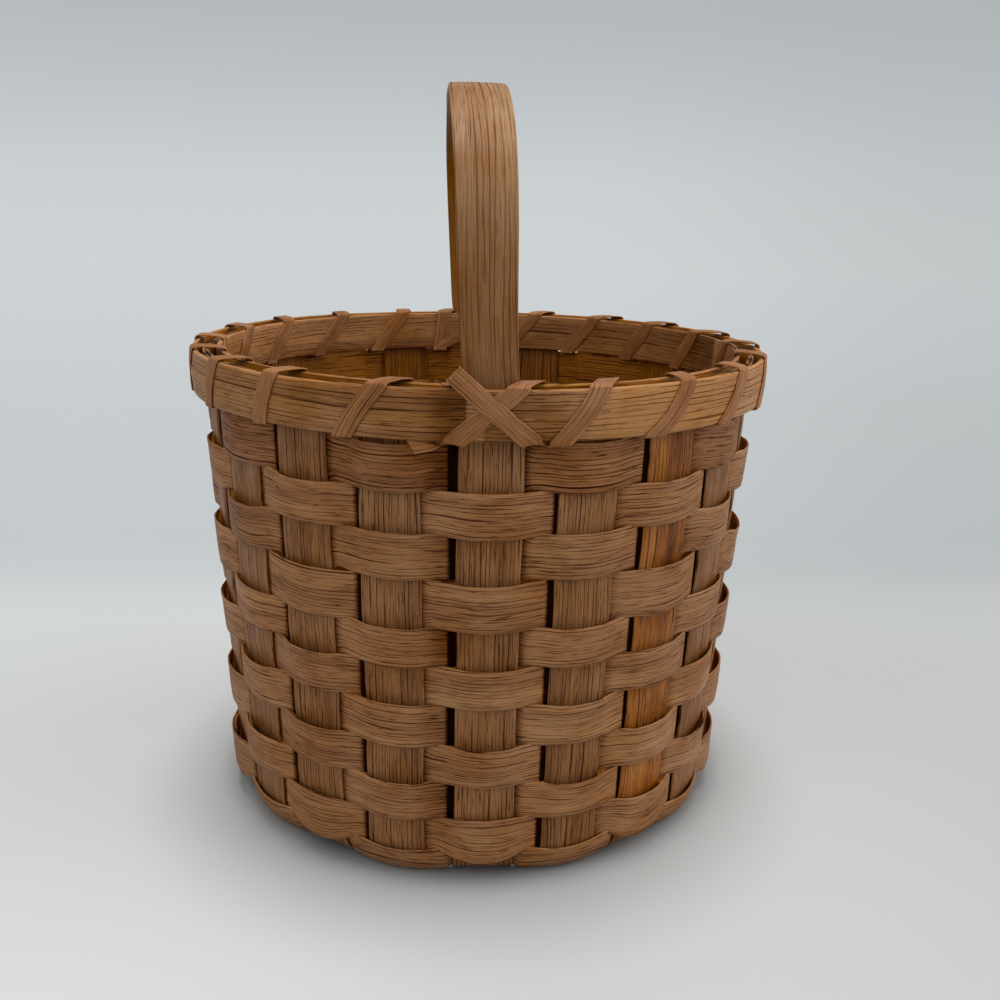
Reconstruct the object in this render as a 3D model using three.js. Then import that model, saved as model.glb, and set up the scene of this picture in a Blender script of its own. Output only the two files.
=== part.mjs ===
// Round basket of split oak: ten flat strips plaited into a square base and folded up into twenty uprights,
// eleven woven rows round the wall and one more inside the rim, two lashed rim hoops and a fixed hoop handle.
// Millimetres, +Z up, the floor at z = 0 under the centre of the base. The front, where the lashing starts, is -Y.
import * as THREE from 'three';

// Body
const BODY_HEIGHT = 192; // floor to the top of the rim hoops
const WALL_LEAN = 2.3; // degrees that the wall opens outwards
const FOLD_RADIUS = 12; // outer radius of the fold from base to wall
const FOLD_MARGIN = 2.5; // from the corner of the plaited square to the start of the fold
const FOLD_STEPS = 4; // flats that make up the fold
const CLEARANCE = 0.3; // between pieces that lie on each other

// Uprights: five strips each way, plaited over and under in the base
const STAKE_WIDTH = 22.8;
const STAKE_THICKNESS = 1.1;
const STAKE_SPACE = 3.2; // between neighbouring strips in the base
const STAKE_TOP_DROP = 1.5; // the cut ends stop this far under the rim's top
const SIDE_PLACES = [-2, -1, 0, 1, 2];
const UPRIGHTS = 4 * SIDE_PLACES.length;
const HEARTWOOD_PLACE = 2; // the front-to-back strip that is heartwood

// Weavers
const WEAVER_THICKNESS = 0.9;
const WEAVER_CROWN = 1.35; // how far a weaver bows out over the middle of an upright
const WEAVER_FLARE = 0.4; // how much further its upper edge stands out there
const WEAVER_SLOPE_ROOM = 0.15; // extra room at an upright's edge, where the weaver slopes
const WEAVER_OVERHANG = 0.4; // degrees past an upright's edge where it turns in
const ROW_SPACE = 0.3; // between the edges of neighbouring rows
// Rows from the foot up: strip width, and the upright at which the strip's hidden first end lies.
// They are packed to fill the wall, so the widths give way by a little.
const WALL_ROWS = [
  { width: 14.5, start: 15 },
  { width: 14.9, start: 16 },
  { width: 15.5, start: 11 },
  { width: 16.2, start: 8 },
  { width: 15.0, start: 5 },
  { width: 14.7, start: 12 },
  { width: 17.6, start: 7 },
  { width: 16.2, start: 14 },
  { width: 15.6, start: 13 },
  { width: 16.8, start: 6 },
];
const RIM_ROW_START = 11; // odd, so that this row lies outside the middle uprights, clear of the legs
const RIM_ROW_CROWN = 0.3; // the hoops press this row flat
const FOOT_ROW_WIDTH = 10;
const FOOT_ROW_START = 4;
const FOOT_ROW_TILT = 30; // degrees below level that the row in the fold faces
const FOOT_ROW_CROWN = 0.4;

// Rim hoops
const HOOP_HEIGHT = 17.8;
const HOOP_THICKNESS = 2.4;
const HOOP_SLACK = 0.45; // loose room between the outer hoop and the thickest place of the weave
const HOOP_STEP = 6; // degrees between the corners of a hoop
const SCARF_ANGLE = 21.5; // degrees of overlap at the hoop's two thinned ends
const SCARF_TIP = 0.8; // thickness of a thinned end
const SCARF_RAMP = 4.5; // degrees over which the hoop gets back to its full thickness
const OUTER_SCARF_END = -4.5; // degrees from the front, the visible end of the outer hoop
const INNER_SCARF_END = 96;

// Handle
const HANDLE_RISE = 101; // rim top to the middle of the strap at the crest
const HANDLE_STRAIGHT = 40; // straight leg above the rim
const HANDLE_SQUARENESS = 2.77; // 2 would make the arch half an ellipse, and more squares its shoulders
const HANDLE_THICKNESS = 2.2;
const HANDLE_GRIP_WIDTH = 21.3; // at the crest
const HANDLE_GRIP_START = 60; // above the rim, where the strap reaches its full thickness
const HANDLE_EDGE = 0.5; // chamfer
const HANDLE_LEAN = 4.2; // the crest stands this far to the left
const HANDLE_LEAN_POWER = 0.6; // and most of that comes low down
const HANDLE_STEPS = 24; // chords of the arch
const LEG_WIDTH = 19.4;
const LEG_THICKNESS = 1.5; // thinned to go between the hoops
const LEG_END_ROW = 1; // rows on the wall under the one that holds a leg's lower end
const LEG_TUCK = 5; // from that row's lower edge up to the leg's end

// Lashing
const LASH_WIDTH = 7;
const LASH_THICKNESS = 0.6;
const LASH_CLEARANCE = 0.4; // over the hoops
const LASH_SELF_GAP = 0.72; // where the strip crosses itself
const LASH_BENDS = [0.75, 0.87]; // how square its turns under the inner hoop are, on the hoop and on another strand
const LASH_ARCH = 1.6; // rise over the hollow between the hoops
const LASH_OVER = 3; // degrees that a wrap gains on its way over
const LASH_SKEW = 1.5; // degrees past the middle of the space where a wrap starts up the outer hoop
const LASH_LEAN = 7.3; // degrees that a wrap gains on its way up
const LASH_STEP = 3.2; // degrees between the corners of a strand on the outer hoop
const LASH_LIFT = 2.2; // how steeply a strand climbs over another one
const LASH_STUB = 7; // start of the strip, inside the inner hoop
const CROSS_FOOT = 5.6; // degrees from the handle's middle to the feet of the X
const CROSS_HEAD = 7.2; // and to its heads, clear of the handle
const CROSS_OVER = 1.6; // degrees that a strand of the X gains on its way over the rim
const CROSS_ARCH = 4; // rise of its upper strand there
const CROSS_NEXT = 12; // foot of the wrap after the X
const TAIL_DROP = 3.2; // the tail hangs this far below the slit
const TAIL_SWEEP = 3.6; // degrees that the tail lies to the left
const TAIL_TIP = 1.2; // width of its pointed tip
const TAIL_STAND_OFF = 0.4; // and how far the tip stands out from the hoop's face

const OAK = new THREE.MeshStandardMaterial({ color: 0x96714f, roughness: 0.62, metalness: 0 });
const OAK_STAKE = new THREE.MeshStandardMaterial({ color: 0x85633f, roughness: 0.66, metalness: 0 });
const HEARTWOOD = new THREE.MeshStandardMaterial({ color: 0x94592c, roughness: 0.64, metalness: 0 });
const OAK_RIM = new THREE.MeshStandardMaterial({ color: 0x8f6a42, roughness: 0.6, metalness: 0 });
const OAK_HANDLE = new THREE.MeshStandardMaterial({ color: 0x9c7550, roughness: 0.58, metalness: 0 });
const OAK_LASHING = new THREE.MeshStandardMaterial({ color: 0xa07a50, roughness: 0.6, metalness: 0 });

const PITCH = 360 / UPRIGHTS;
const rad = THREE.MathUtils.degToRad;
const deg = THREE.MathUtils.radToDeg;
const lerp = THREE.MathUtils.lerp;

// Plaited square and the radii that follow from it
const BASE_PITCH = STAKE_WIDTH + STAKE_SPACE;
const SQUARE_HALF = (SIDE_PLACES.length / 2) * BASE_PITCH;
const FLOOR_RADIUS = SQUARE_HALF * Math.SQRT2 + FOLD_MARGIN;
const LEAN = rad(WALL_LEAN);
const FOOT_RADIUS = FLOOR_RADIUS + FOLD_RADIUS * Math.cos(LEAN);
const FOOT_Z = FOLD_RADIUS * (1 - Math.sin(LEAN));

// Outer face of an upright at a height, on its centre line
const wallRadius = (z) => FOOT_RADIUS + (z - FOOT_Z) * Math.tan(LEAN);

// Rim heights and radii
const RIM_BOTTOM = BODY_HEIGHT - HOOP_HEIGHT;
const STAKE_CORNER = Math.hypot(wallRadius(BODY_HEIGHT), STAKE_WIDTH / 2) - wallRadius(BODY_HEIGHT);
const RIM_ROW_REACH = 2 * (CLEARANCE + WEAVER_THICKNESS) + WEAVER_SLOPE_ROOM + RIM_ROW_CROWN + STAKE_CORNER;
const OUTER_HOOP_INNER = wallRadius(BODY_HEIGHT) + RIM_ROW_REACH + HOOP_SLACK;
const RIM_RADIUS = OUTER_HOOP_INNER + HOOP_THICKNESS;
const INNER_HOOP_OUTER = wallRadius(RIM_BOTTOM) - STAKE_THICKNESS - LEG_THICKNESS - 2 * CLEARANCE;
const INNER_HOOP_INNER = INNER_HOOP_OUTER - HOOP_THICKNESS;
const RIM_SLIT = LASH_CLEARANCE + 2 * LASH_THICKNESS + LASH_SELF_GAP + CLEARANCE;

// Heights of the rows on the wall, from the foot up, between the fold and the slit under the hoops
function wallRows() {
  const foot = FOOT_Z + ROW_SPACE;
  const room = RIM_BOTTOM - RIM_SLIT - foot;
  const widths = WALL_ROWS.map((row) => row.width);
  const mean = widths.reduce((sum, width) => sum + width, 0) / widths.length;
  const count = Math.round((room + ROW_SPACE) / (mean + ROW_SPACE));
  const rows = Array.from({ length: count }, (_, n) => WALL_ROWS[n % WALL_ROWS.length]);
  const total = rows.reduce((sum, row) => sum + row.width, 0);
  const give = (room - (count - 1) * ROW_SPACE) / total;
  let bottom = foot;
  return rows.map(({ width, start }) => {
    const row = { start, bottom, top: bottom + give * width };
    bottom = row.top + ROW_SPACE;
    return row;
  });
}

const ROWS = wallRows();
const LEG_END = ROWS[LEG_END_ROW].bottom + LEG_TUCK;

// A point at an angle from the front, counter-clockwise seen from above
function polar(angle, radius, z) {
  return new THREE.Vector3(radius * Math.sin(rad(angle)), -radius * Math.cos(rad(angle)), z);
}

// The level direction along the wall at an angle
function tangent(angle) {
  return new THREE.Vector3(Math.cos(rad(angle)), Math.sin(rad(angle)), 0);
}

// A direction in the upright plane at an angle: outwards and up
function leaning(angle, outwards, up) {
  return polar(angle, outwards, up).normalize();
}

// A closed solid through sections that all have the same number of corners
function loft(sections) {
  const corners = sections[0].length;
  const points = sections.flat();
  const triangles = [];
  for (let s = 0; s + 1 < sections.length; s += 1) {
    for (let c = 0; c < corners; c += 1) {
      const a = s * corners + c;
      const b = s * corners + ((c + 1) % corners);
      if (c < corners / 2) {
        triangles.push([a, b, b + corners], [a, b + corners, a + corners]);
      } else {
        triangles.push([a, b, a + corners], [b, b + corners, a + corners]);
      }
    }
  }
  const last = (sections.length - 1) * corners;
  for (let c = 1; c + 1 < corners; c += 1) {
    triangles.push([0, c + 1, c], [last, last + c, last + c + 1]);
  }
  let volume = 0;
  for (const [a, b, c] of triangles) {
    volume += points[a].dot(points[b].clone().cross(points[c]));
  }
  const outward = volume > 0 ? triangles : triangles.map(([a, b, c]) => [a, c, b]);
  const geometry = new THREE.BufferGeometry();
  const positions = points.flatMap((p) => [p.x, p.y, p.z]);
  geometry.setAttribute('position', new THREE.Float32BufferAttribute(positions, 3));
  geometry.setIndex(outward.flat());
  geometry.computeVertexNormals();
  return geometry;
}

// Corners of a flat strip's section: inner low, inner high, outer high, outer low
function stripSection(centre, across, outwards, width, thickness) {
  const side = across.clone().multiplyScalar(width / 2);
  const out = outwards.clone().multiplyScalar(thickness / 2);
  return [
    centre.clone().sub(side).sub(out),
    centre.clone().add(side).sub(out),
    centre.clone().add(side).add(out),
    centre.clone().sub(side).add(out),
  ];
}

// One end of a base strip: from the middle of the base out to the rim.
// facing is the side it goes to, place its place in the row of five, and topIsOdd which crossings it passes over.
function stakeHalf(facing, place, topIsOdd) {
  const outwards = polar(facing, 1, 0);
  const sideways = tangent(facing);
  const down = new THREE.Vector3(0, 0, -1);
  const low = STAKE_THICKNESS / 2;
  const high = low + STAKE_THICKNESS + CLEARANCE;
  const offset = place * BASE_PITCH;
  const angle = facing + place * PITCH;
  const at = (along, z) => {
    return outwards.clone().multiplyScalar(along).addScaledVector(sideways, offset).setZ(z);
  };
  const level = (crossing) => {
    const odd = Math.abs(crossing + place) % 2 === 1;
    return odd === topIsOdd ? high : low;
  };
  const strip = (centre, across, out) => stripSection(centre, across, out, STAKE_WIDTH, STAKE_THICKNESS);
  const sections = [strip(at(STAKE_WIDTH / 2, level(0)), sideways, down)];
  const crossings = (SIDE_PLACES.length - 1) / 2;
  for (let crossing = 1; crossing <= crossings; crossing += 1) {
    for (const edge of [-STAKE_WIDTH / 2, STAKE_WIDTH / 2]) {
      sections.push(strip(at(crossing * BASE_PITCH + edge, level(crossing)), sideways, down));
    }
  }
  const square = at(crossings * BASE_PITCH + STAKE_WIDTH / 2, level(crossings));
  const fold = polar(angle, FLOOR_RADIUS, low);
  const turned = tangent(angle);
  const halfway = square.clone().lerp(fold, 0.5);
  sections.push(strip(halfway, sideways.clone().add(turned).normalize(), down));
  for (let step = 0; step <= FOLD_STEPS; step += 1) {
    const tilt = lerp(Math.PI / 2, LEAN, step / FOLD_STEPS);
    const reach = FOLD_RADIUS - STAKE_THICKNESS / 2;
    const radius = FLOOR_RADIUS + reach * Math.cos(tilt);
    const centre = polar(angle, radius, FOLD_RADIUS - reach * Math.sin(tilt));
    sections.push(strip(centre, turned, leaning(angle, Math.cos(tilt), -Math.sin(tilt))));
  }
  const top = BODY_HEIGHT - STAKE_TOP_DROP;
  const topRadius = wallRadius(top) - STAKE_THICKNESS / 2;
  sections.push(strip(polar(angle, topRadius, top), turned, leaning(angle, Math.cos(LEAN), -Math.sin(LEAN))));
  return sections;
}

// A whole base strip, from one rim to the opposite one
function stakeGeometry(facing, place, topIsOdd) {
  const near = stakeHalf(facing, place, topIsOdd);
  const far = stakeHalf(facing + 180, -place, topIsOdd);
  const turnedRound = far.map(([a, b, c, d]) => [b, a, d, c]).reverse();
  return loft([...turnedRound, ...near]);
}

// Distances from the axis to a weaver's middle: outside or inside a flat upright whose middle is at radius
function weaverSeat(outside) {
  const rest = STAKE_THICKNESS / 2 + CLEARANCE + WEAVER_THICKNESS / 2;
  return outside ? rest + WEAVER_SLOPE_ROOM : -rest;
}

// Walks once round the basket and one upright further, so that the strip's ends overlap: its first end lies inside
// the upright at start, or with a short lap outside the next one, and its last end outside that next one.
// sectionAt(angle, turn, seat, crown) gives the section at turn degrees from the upright at angle.
function weaveRow({ start, legsInside, crown: crownHeight, shortLap }, radius, sectionAt) {
  const sections = [];
  const edge = deg(Math.asin(STAKE_WIDTH / 2 / radius));
  const shoulder = edge + WEAVER_OVERHANG;
  const layer = WEAVER_THICKNESS + CLEARANCE;
  for (let n = 0; n <= UPRIGHTS + 1; n += 1) {
    const outside = n % 2 === 1;
    const upright = (start + n) % UPRIGHTS;
    const angle = (start + n) * PITCH;
    let seat = weaverSeat(outside);
    if (legsInside && !outside && upright % (UPRIGHTS / 2) === 0) {
      seat -= LEG_THICKNESS + CLEARANCE;
    }
    if (n === 1) {
      seat += layer;
    }
    if (n === UPRIGHTS && !shortLap) {
      seat -= layer;
    }
    const turns = outside ? [-shoulder, -shoulder / 3, shoulder / 3, shoulder] : [-edge, edge];
    if (n === 0 && shortLap) {
      continue;
    }
    if (n === 0) {
      sections.push(sectionAt(angle, 0, seat, 0));
      sections.push(sectionAt(angle, edge, seat, 0));
    } else if (n === UPRIGHTS + 1) {
      sections.push(sectionAt(angle, -shoulder, seat, 0));
      sections.push(sectionAt(angle, -shoulder / 3, seat, crownHeight));
      sections.push(sectionAt(angle, 0, seat, crownHeight));
    } else {
      for (const turn of turns) {
        const crown = outside && Math.abs(turn) < shoulder ? crownHeight : 0;
        sections.push(sectionAt(angle, turn, seat, crown));
      }
    }
  }
  return loft(sections);
}

// A row on the wall between two heights
function wallRowGeometry(bottom, top, row) {
  const low = wallRadius(bottom) - STAKE_THICKNESS / 2;
  const high = wallRadius(top) - STAKE_THICKNESS / 2;
  const half = WEAVER_THICKNESS / 2;
  return weaveRow(row, low, (angle, turn, seat, crown) => {
    const stretch = 1 / Math.cos(rad(turn));
    const lowRadius = (low + seat + crown) * stretch;
    const flare = crown > 0 ? row.flare : 0;
    const highRadius = (high + seat + crown + flare) * stretch;
    return [
      polar(angle + turn, lowRadius - half, bottom),
      polar(angle + turn, highRadius - half, top),
      polar(angle + turn, highRadius + half, top),
      polar(angle + turn, lowRadius + half, bottom),
    ];
  });
}

// The lowest row, which lies slanting in the fold
function footRowGeometry(row) {
  const tilt = rad(FOOT_ROW_TILT);
  const foldMiddle = FOLD_RADIUS - STAKE_THICKNESS / 2;
  const flat = Math.cos((Math.PI / 2 - LEAN) / 2 / FOLD_STEPS);
  const inside = (FOLD_RADIUS - STAKE_THICKNESS) * flat - CLEARANCE;
  const insideSeat = Math.sqrt(inside ** 2 - (FOOT_ROW_WIDTH / 2) ** 2) - WEAVER_THICKNESS / 2;
  const drop = foldMiddle + weaverSeat(false) - insideSeat;
  return weaveRow(row, FLOOR_RADIUS + FOLD_RADIUS, (angle, turn, seat, crown) => {
    const reach = foldMiddle + seat + crown - (seat < 0 ? drop : 0);
    const stretch = 1 / Math.cos(rad(turn));
    const radius = (FLOOR_RADIUS + reach * Math.cos(tilt)) * stretch;
    const centre = polar(angle + turn, radius, FOLD_RADIUS - reach * Math.sin(tilt));
    const across = leaning(angle + turn, Math.sin(tilt), Math.cos(tilt));
    const out = leaning(angle + turn, Math.cos(tilt), -Math.sin(tilt));
    return stripSection(centre, across, out, FOOT_ROW_WIDTH, WEAVER_THICKNESS);
  });
}

// An open hoop whose thinned ends overlap. outerEnd is the angle of the end that lies outside.
function hoopGeometry(inner, outer, outerEnd) {
  const innerTip = outerEnd - SCARF_ANGLE;
  const tail = innerTip + 360;
  const thick = outer - inner;
  const lap = thick - SCARF_TIP - CLEARANCE; // thickness of the inner end under the outer tip
  const stops = [
    { angle: innerTip, from: 0, to: thick - lap - CLEARANCE },
    { angle: outerEnd, from: 0, to: lap },
    { angle: outerEnd + SCARF_RAMP, from: 0, to: thick },
    { angle: tail - SCARF_RAMP, from: 0, to: thick },
    { angle: tail, from: thick - lap, to: thick },
    { angle: outerEnd + 360, from: lap + CLEARANCE, to: thick },
  ];
  const sections = [];
  for (let i = 0; i < stops.length; i += 1) {
    const here = stops[i];
    const next = stops[Math.min(i + 1, stops.length - 1)];
    const chords = Math.max(1, Math.round((next.angle - here.angle) / HOOP_STEP));
    for (let step = 0; step < chords; step += 1) {
      const share = step / chords;
      const angle = lerp(here.angle, next.angle, share);
      const from = inner + lerp(here.from, next.from, share);
      const to = inner + lerp(here.to, next.to, share);
      sections.push([
        polar(angle, from, RIM_BOTTOM),
        polar(angle, from, BODY_HEIGHT),
        polar(angle, to, BODY_HEIGHT),
        polar(angle, to, RIM_BOTTOM),
      ]);
    }
  }
  return loft(sections);
}

// The handle: legs inside the middle uprights, straight above the rim, then an arch with squared shoulders
function handleGeometry() {
  const legMiddle = (z) => wallRadius(z) - STAKE_THICKNESS - CLEARANCE - LEG_THICKNESS / 2;
  const halfSpan = legMiddle(BODY_HEIGHT);
  const spring = BODY_HEIGHT + HANDLE_STRAIGHT;
  const archRise = HANDLE_RISE - HANDLE_STRAIGHT;
  const section = (y, z, normalY, normalZ) => {
    const above = Math.max(0, z - BODY_HEIGHT);
    const share = above / HANDLE_RISE;
    const width = lerp(LEG_WIDTH, HANDLE_GRIP_WIDTH, share);
    const thickness = lerp(LEG_THICKNESS, HANDLE_THICKNESS, Math.min(1, above / HANDLE_GRIP_START));
    const centre = new THREE.Vector3(-HANDLE_LEAN * share ** HANDLE_LEAN_POWER, y, z);
    const out = new THREE.Vector3(0, normalY, normalZ).normalize();
    const across = new THREE.Vector3(1, 0, 0);
    const corner = (side, depth) => centre.clone().addScaledVector(across, side).addScaledVector(out, depth);
    const w = width / 2;
    const t = thickness / 2;
    const e = HANDLE_EDGE;
    return [
      corner(-w, e - t),
      corner(e - w, -t),
      corner(w - e, -t),
      corner(w, e - t),
      corner(w, t - e),
      corner(w - e, t),
      corner(e - w, t),
      corner(-w, t - e),
    ];
  };
  const leg = [LEG_END, RIM_BOTTOM, BODY_HEIGHT];
  const front = leg.map((z) => section(-legMiddle(z), z, -Math.cos(LEAN), -Math.sin(LEAN)));
  const back = leg.map((z) => section(legMiddle(z), z, Math.cos(LEAN), -Math.sin(LEAN))).reverse();
  const arch = [];
  const power = 2 / HANDLE_SQUARENESS;
  for (let step = 0; step <= HANDLE_STEPS; step += 1) {
    const turn = (Math.PI * step) / HANDLE_STEPS;
    const side = -Math.sign(Math.cos(turn));
    const along = Math.abs(Math.cos(turn)) ** power;
    const up = Math.abs(Math.sin(turn)) ** power;
    const normalY = (side * along ** (HANDLE_SQUARENESS - 1)) / halfSpan;
    const normalZ = up ** (HANDLE_SQUARENESS - 1) / archRise;
    arch.push(section(side * along * halfSpan, spring + archRise * up, normalY, normalZ));
  }
  return loft([...front, ...arch, ...back]);
}

// Places along the lashing. Each has an angle, radius and height, the direction in which its outer side faces, and
// its width along the rim.
const LASH_OFFSET = LASH_CLEARANCE + LASH_THICKNESS / 2;
const LASH_LAYER = LASH_THICKNESS + LASH_SELF_GAP;
const SPACE_RADIUS = wallRadius(RIM_BOTTOM);

// Width along the rim of a strip that leans over the hoop's height
function leanWidth(turned) {
  const run = rad(turned) * RIM_RADIUS;
  return LASH_WIDTH * Math.hypot(1, run / HOOP_HEIGHT);
}

// Up or down the outer hoop. lift raises the middle of the strand over one that it crosses.
function outerStrand(fromAngle, toAngle, upwards, lift) {
  const places = [];
  const steps = Math.max(2, Math.ceil(Math.abs(toAngle - fromAngle) / LASH_STEP));
  const width = leanWidth(toAngle - fromAngle);
  for (let step = 0; step <= steps; step += 1) {
    const share = step / steps;
    const raised = lift * Math.min(1, LASH_LIFT * Math.sin(Math.PI * share));
    places.push({
      angle: lerp(fromAngle, toAngle, share),
      radius: RIM_RADIUS + LASH_OFFSET + raised,
      z: upwards ? lerp(RIM_BOTTOM, BODY_HEIGHT, share) : lerp(BODY_HEIGHT, RIM_BOTTOM, share),
      out: 1,
      up: 0,
      width,
    });
  }
  return places;
}

// Over the hollow between the hoops, from outside to inside
function overRim(fromAngle, toAngle, arch) {
  const middle = (RIM_RADIUS + INNER_HOOP_INNER) / 2;
  const halfWidth = (RIM_RADIUS - INNER_HOOP_INNER) / 2 + LASH_OFFSET;
  const rise = arch + LASH_OFFSET;
  const run = rad(toAngle - fromAngle) * middle;
  const width = LASH_WIDTH * Math.hypot(1, run / (2 * halfWidth));
  return [30, 60, 90, 120, 150].map((turn) => ({
    angle: lerp(fromAngle, toAngle, (1 - Math.cos(rad(turn))) / 2),
    radius: middle + halfWidth * Math.cos(rad(turn)),
    z: BODY_HEIGHT + rise * Math.sin(rad(turn)),
    out: Math.cos(rad(turn)) / halfWidth,
    up: Math.sin(rad(turn)) / rise,
    width,
  }));
}

// Down the inner hoop. layers is how many strands it lies on at its foot.
function innerStrand(fromAngle, toAngle, layers) {
  const width = leanWidth(toAngle - fromAngle);
  return [0, 0.3, 0.65, 1].map((share) => ({
    angle: lerp(fromAngle, toAngle, share),
    radius: INNER_HOOP_INNER - LASH_OFFSET - layers * LASH_LAYER * Math.min(1, share / 0.3),
    z: lerp(BODY_HEIGHT, RIM_BOTTOM, share),
    out: -1,
    up: 0,
    width: lerp(LASH_WIDTH, width, Math.min(1, share / 0.3, (1 - share) / 0.35)),
  }));
}

// Out through the space between two uprights, under both hoops
function underRim(space, layers, footAngle) {
  const z = RIM_BOTTOM - LASH_OFFSET - layers * LASH_LAYER;
  const corner = LASH_BENDS[layers] * (LASH_OFFSET + layers * LASH_LAYER);
  const bend = LASH_BENDS[0];
  const turnIn = {
    angle: space,
    radius: INNER_HOOP_INNER - corner,
    z: RIM_BOTTOM - corner,
    out: -1,
    up: -1,
    width: LASH_WIDTH,
  };
  const flat = (angle, radius) => ({ angle, radius, z, out: 0, up: -1, width: LASH_WIDTH });
  const turnOut = {
    angle: footAngle,
    radius: RIM_RADIUS + bend * LASH_OFFSET,
    z: lerp(z, RIM_BOTTOM, 1 - bend),
    out: 1,
    up: -1,
    width: LASH_WIDTH,
  };
  const nearly = lerp(space, footAngle, 0.8); // just before the strip turns up
  const places = [turnIn, flat(space, INNER_HOOP_OUTER), flat(space, SPACE_RADIUS)];
  if (footAngle !== space) {
    places.push(flat(nearly, RIM_RADIUS - LASH_THICKNESS));
  }
  places.push(turnOut);
  return places;
}

// An X over a handle leg: up to the right, down inside, up to the left over it, and down inside to the right again
function crossPlaces(handleAngle) {
  const space = PITCH / 2;
  return [
    ...underRim(handleAngle - space, 0, handleAngle - CROSS_FOOT),
    ...outerStrand(handleAngle - CROSS_FOOT, handleAngle + CROSS_HEAD, true, 0),
    ...overRim(handleAngle + CROSS_HEAD, handleAngle + CROSS_HEAD + CROSS_OVER, LASH_ARCH),
    ...innerStrand(handleAngle + CROSS_HEAD + CROSS_OVER, handleAngle + space, 0),
    ...underRim(handleAngle + space, 0, handleAngle + CROSS_FOOT),
    ...outerStrand(handleAngle + CROSS_FOOT, handleAngle - CROSS_HEAD, true, LASH_LAYER),
    ...overRim(handleAngle - CROSS_HEAD, handleAngle - CROSS_HEAD - CROSS_OVER, CROSS_ARCH),
    ...innerStrand(handleAngle - CROSS_HEAD - CROSS_OVER, handleAngle + space, 1),
  ];
}

// The whole lashing: a stub inside, an X at each handle leg, a wrap in each other space and a tail outside
function lashPlaces() {
  const space = PITCH / 2;
  const stubRadius = INNER_HOOP_INNER - LASH_OFFSET;
  const places = [0, 0.5].map((share) => ({
    angle: -space,
    radius: stubRadius,
    z: RIM_BOTTOM + LASH_STUB * (1 - share),
    out: -1,
    up: 0,
    width: LASH_WIDTH,
  }));
  const half = UPRIGHTS / 2;
  for (const handle of [0, half]) {
    places.push(...crossPlaces(handle * PITCH));
    for (let n = 0; n + 1 < half; n += 1) {
      const middle = (handle + n) * PITCH + space;
      const foot = n === 0 ? handle * PITCH + CROSS_NEXT : middle + LASH_SKEW;
      const last = handle === half && n === half - 2;
      places.push(...underRim(middle, n === 0 ? 1 : 0, foot));
      places.push(...outerStrand(foot, foot + LASH_LEAN, true, 0));
      const head = foot + LASH_LEAN;
      places.push(...overRim(head, head + LASH_OVER, LASH_ARCH));
      places.push(...innerStrand(head + LASH_OVER, middle + PITCH, last ? 1 : 0));
    }
  }
  const end = 360 - space;
  const slit = RIM_BOTTOM - LASH_OFFSET - LASH_LAYER;
  places.push(...underRim(end, 1, end).slice(0, -1));
  const tail = [
    { share: 0.3, radius: OUTER_HOOP_INNER, drop: 0.1, width: LASH_WIDTH, out: 0.2, up: -1 },
    { share: 0.6, radius: RIM_RADIUS, drop: 0.5, width: 0.8 * LASH_WIDTH, out: 1, up: -1 },
    { share: 1, radius: RIM_RADIUS + TAIL_STAND_OFF, drop: 1, width: TAIL_TIP, out: 1, up: -0.3 },
  ];
  for (const { share, radius, drop, width, out, up } of tail) {
    places.push({ angle: end - TAIL_SWEEP * share, radius, z: slit - TAIL_DROP * drop, out, up, width });
  }
  return places;
}

function lashSection({ angle, radius, z, out, up, width }) {
  return stripSection(polar(angle, radius, z), tangent(angle), leaning(angle, out, up), width, LASH_THICKNESS);
}

// Least gap between two stretches of the lashing, measured on points of its middle surface
function leastSelfGap(places) {
  const acrossSteps = 12;
  const alongSteps = 6;
  const apart = 14; // millimetres along the strip, below which two points are the same bend
  const cell = 3;
  const samples = [];
  let travelled = 0;
  for (let i = 0; i + 1 < places.length; i += 1) {
    const [a, b] = [places[i], places[i + 1]];
    const ends = [a, b].map((p) => {
      const centre = polar(p.angle, p.radius, p.z);
      const side = tangent(p.angle).multiplyScalar(p.width / 2);
      return { centre, side };
    });
    for (let along = 0; along < alongSteps; along += 1) {
      const share = along / alongSteps;
      const centre = ends[0].centre.clone().lerp(ends[1].centre, share);
      const side = ends[0].side.clone().lerp(ends[1].side, share);
      const distance = travelled + share * ends[0].centre.distanceTo(ends[1].centre);
      for (let across = 0; across <= acrossSteps; across += 1) {
        const point = centre.clone().addScaledVector(side, (2 * across) / acrossSteps - 1);
        samples.push({ point, distance });
      }
    }
    travelled += ends[0].centre.distanceTo(ends[1].centre);
  }
  const cells = new Map();
  const key = (x, y, z) => `${x},${y},${z}`;
  for (const sample of samples) {
    sample.cell = sample.point.toArray().map((v) => Math.floor(v / cell));
    const name = key(...sample.cell);
    cells.set(name, [...(cells.get(name) ?? []), sample]);
  }
  let least = Infinity;
  for (const sample of samples) {
    const [x, y, z] = sample.cell;
    for (let n = 0; n < 27; n += 1) {
      const near = cells.get(key(x + (n % 3) - 1, y + (Math.floor(n / 3) % 3) - 1, z + Math.floor(n / 9) - 1));
      for (const other of near ?? []) {
        if (other.distance - sample.distance > apart) {
          least = Math.min(least, other.point.distanceTo(sample.point));
        }
      }
    }
  }
  return least - LASH_THICKNESS;
}

const basket = new THREE.Group();

function add(name, geometry, material) {
  const mesh = new THREE.Mesh(geometry, material);
  mesh.name = name;
  basket.add(mesh);
}

// Front-to-back strips pass over the side strips at even crossings, and the side strips pass over at odd ones
SIDE_PLACES.forEach((place, index) => {
  const wood = place === HEARTWOOD_PLACE ? HEARTWOOD : OAK_STAKE;
  add(`stake_front_back_${index + 1}`, stakeGeometry(0, place, false), wood);
  add(`stake_side_side_${index + 1}`, stakeGeometry(90, place, true), OAK_STAKE);
});

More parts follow.
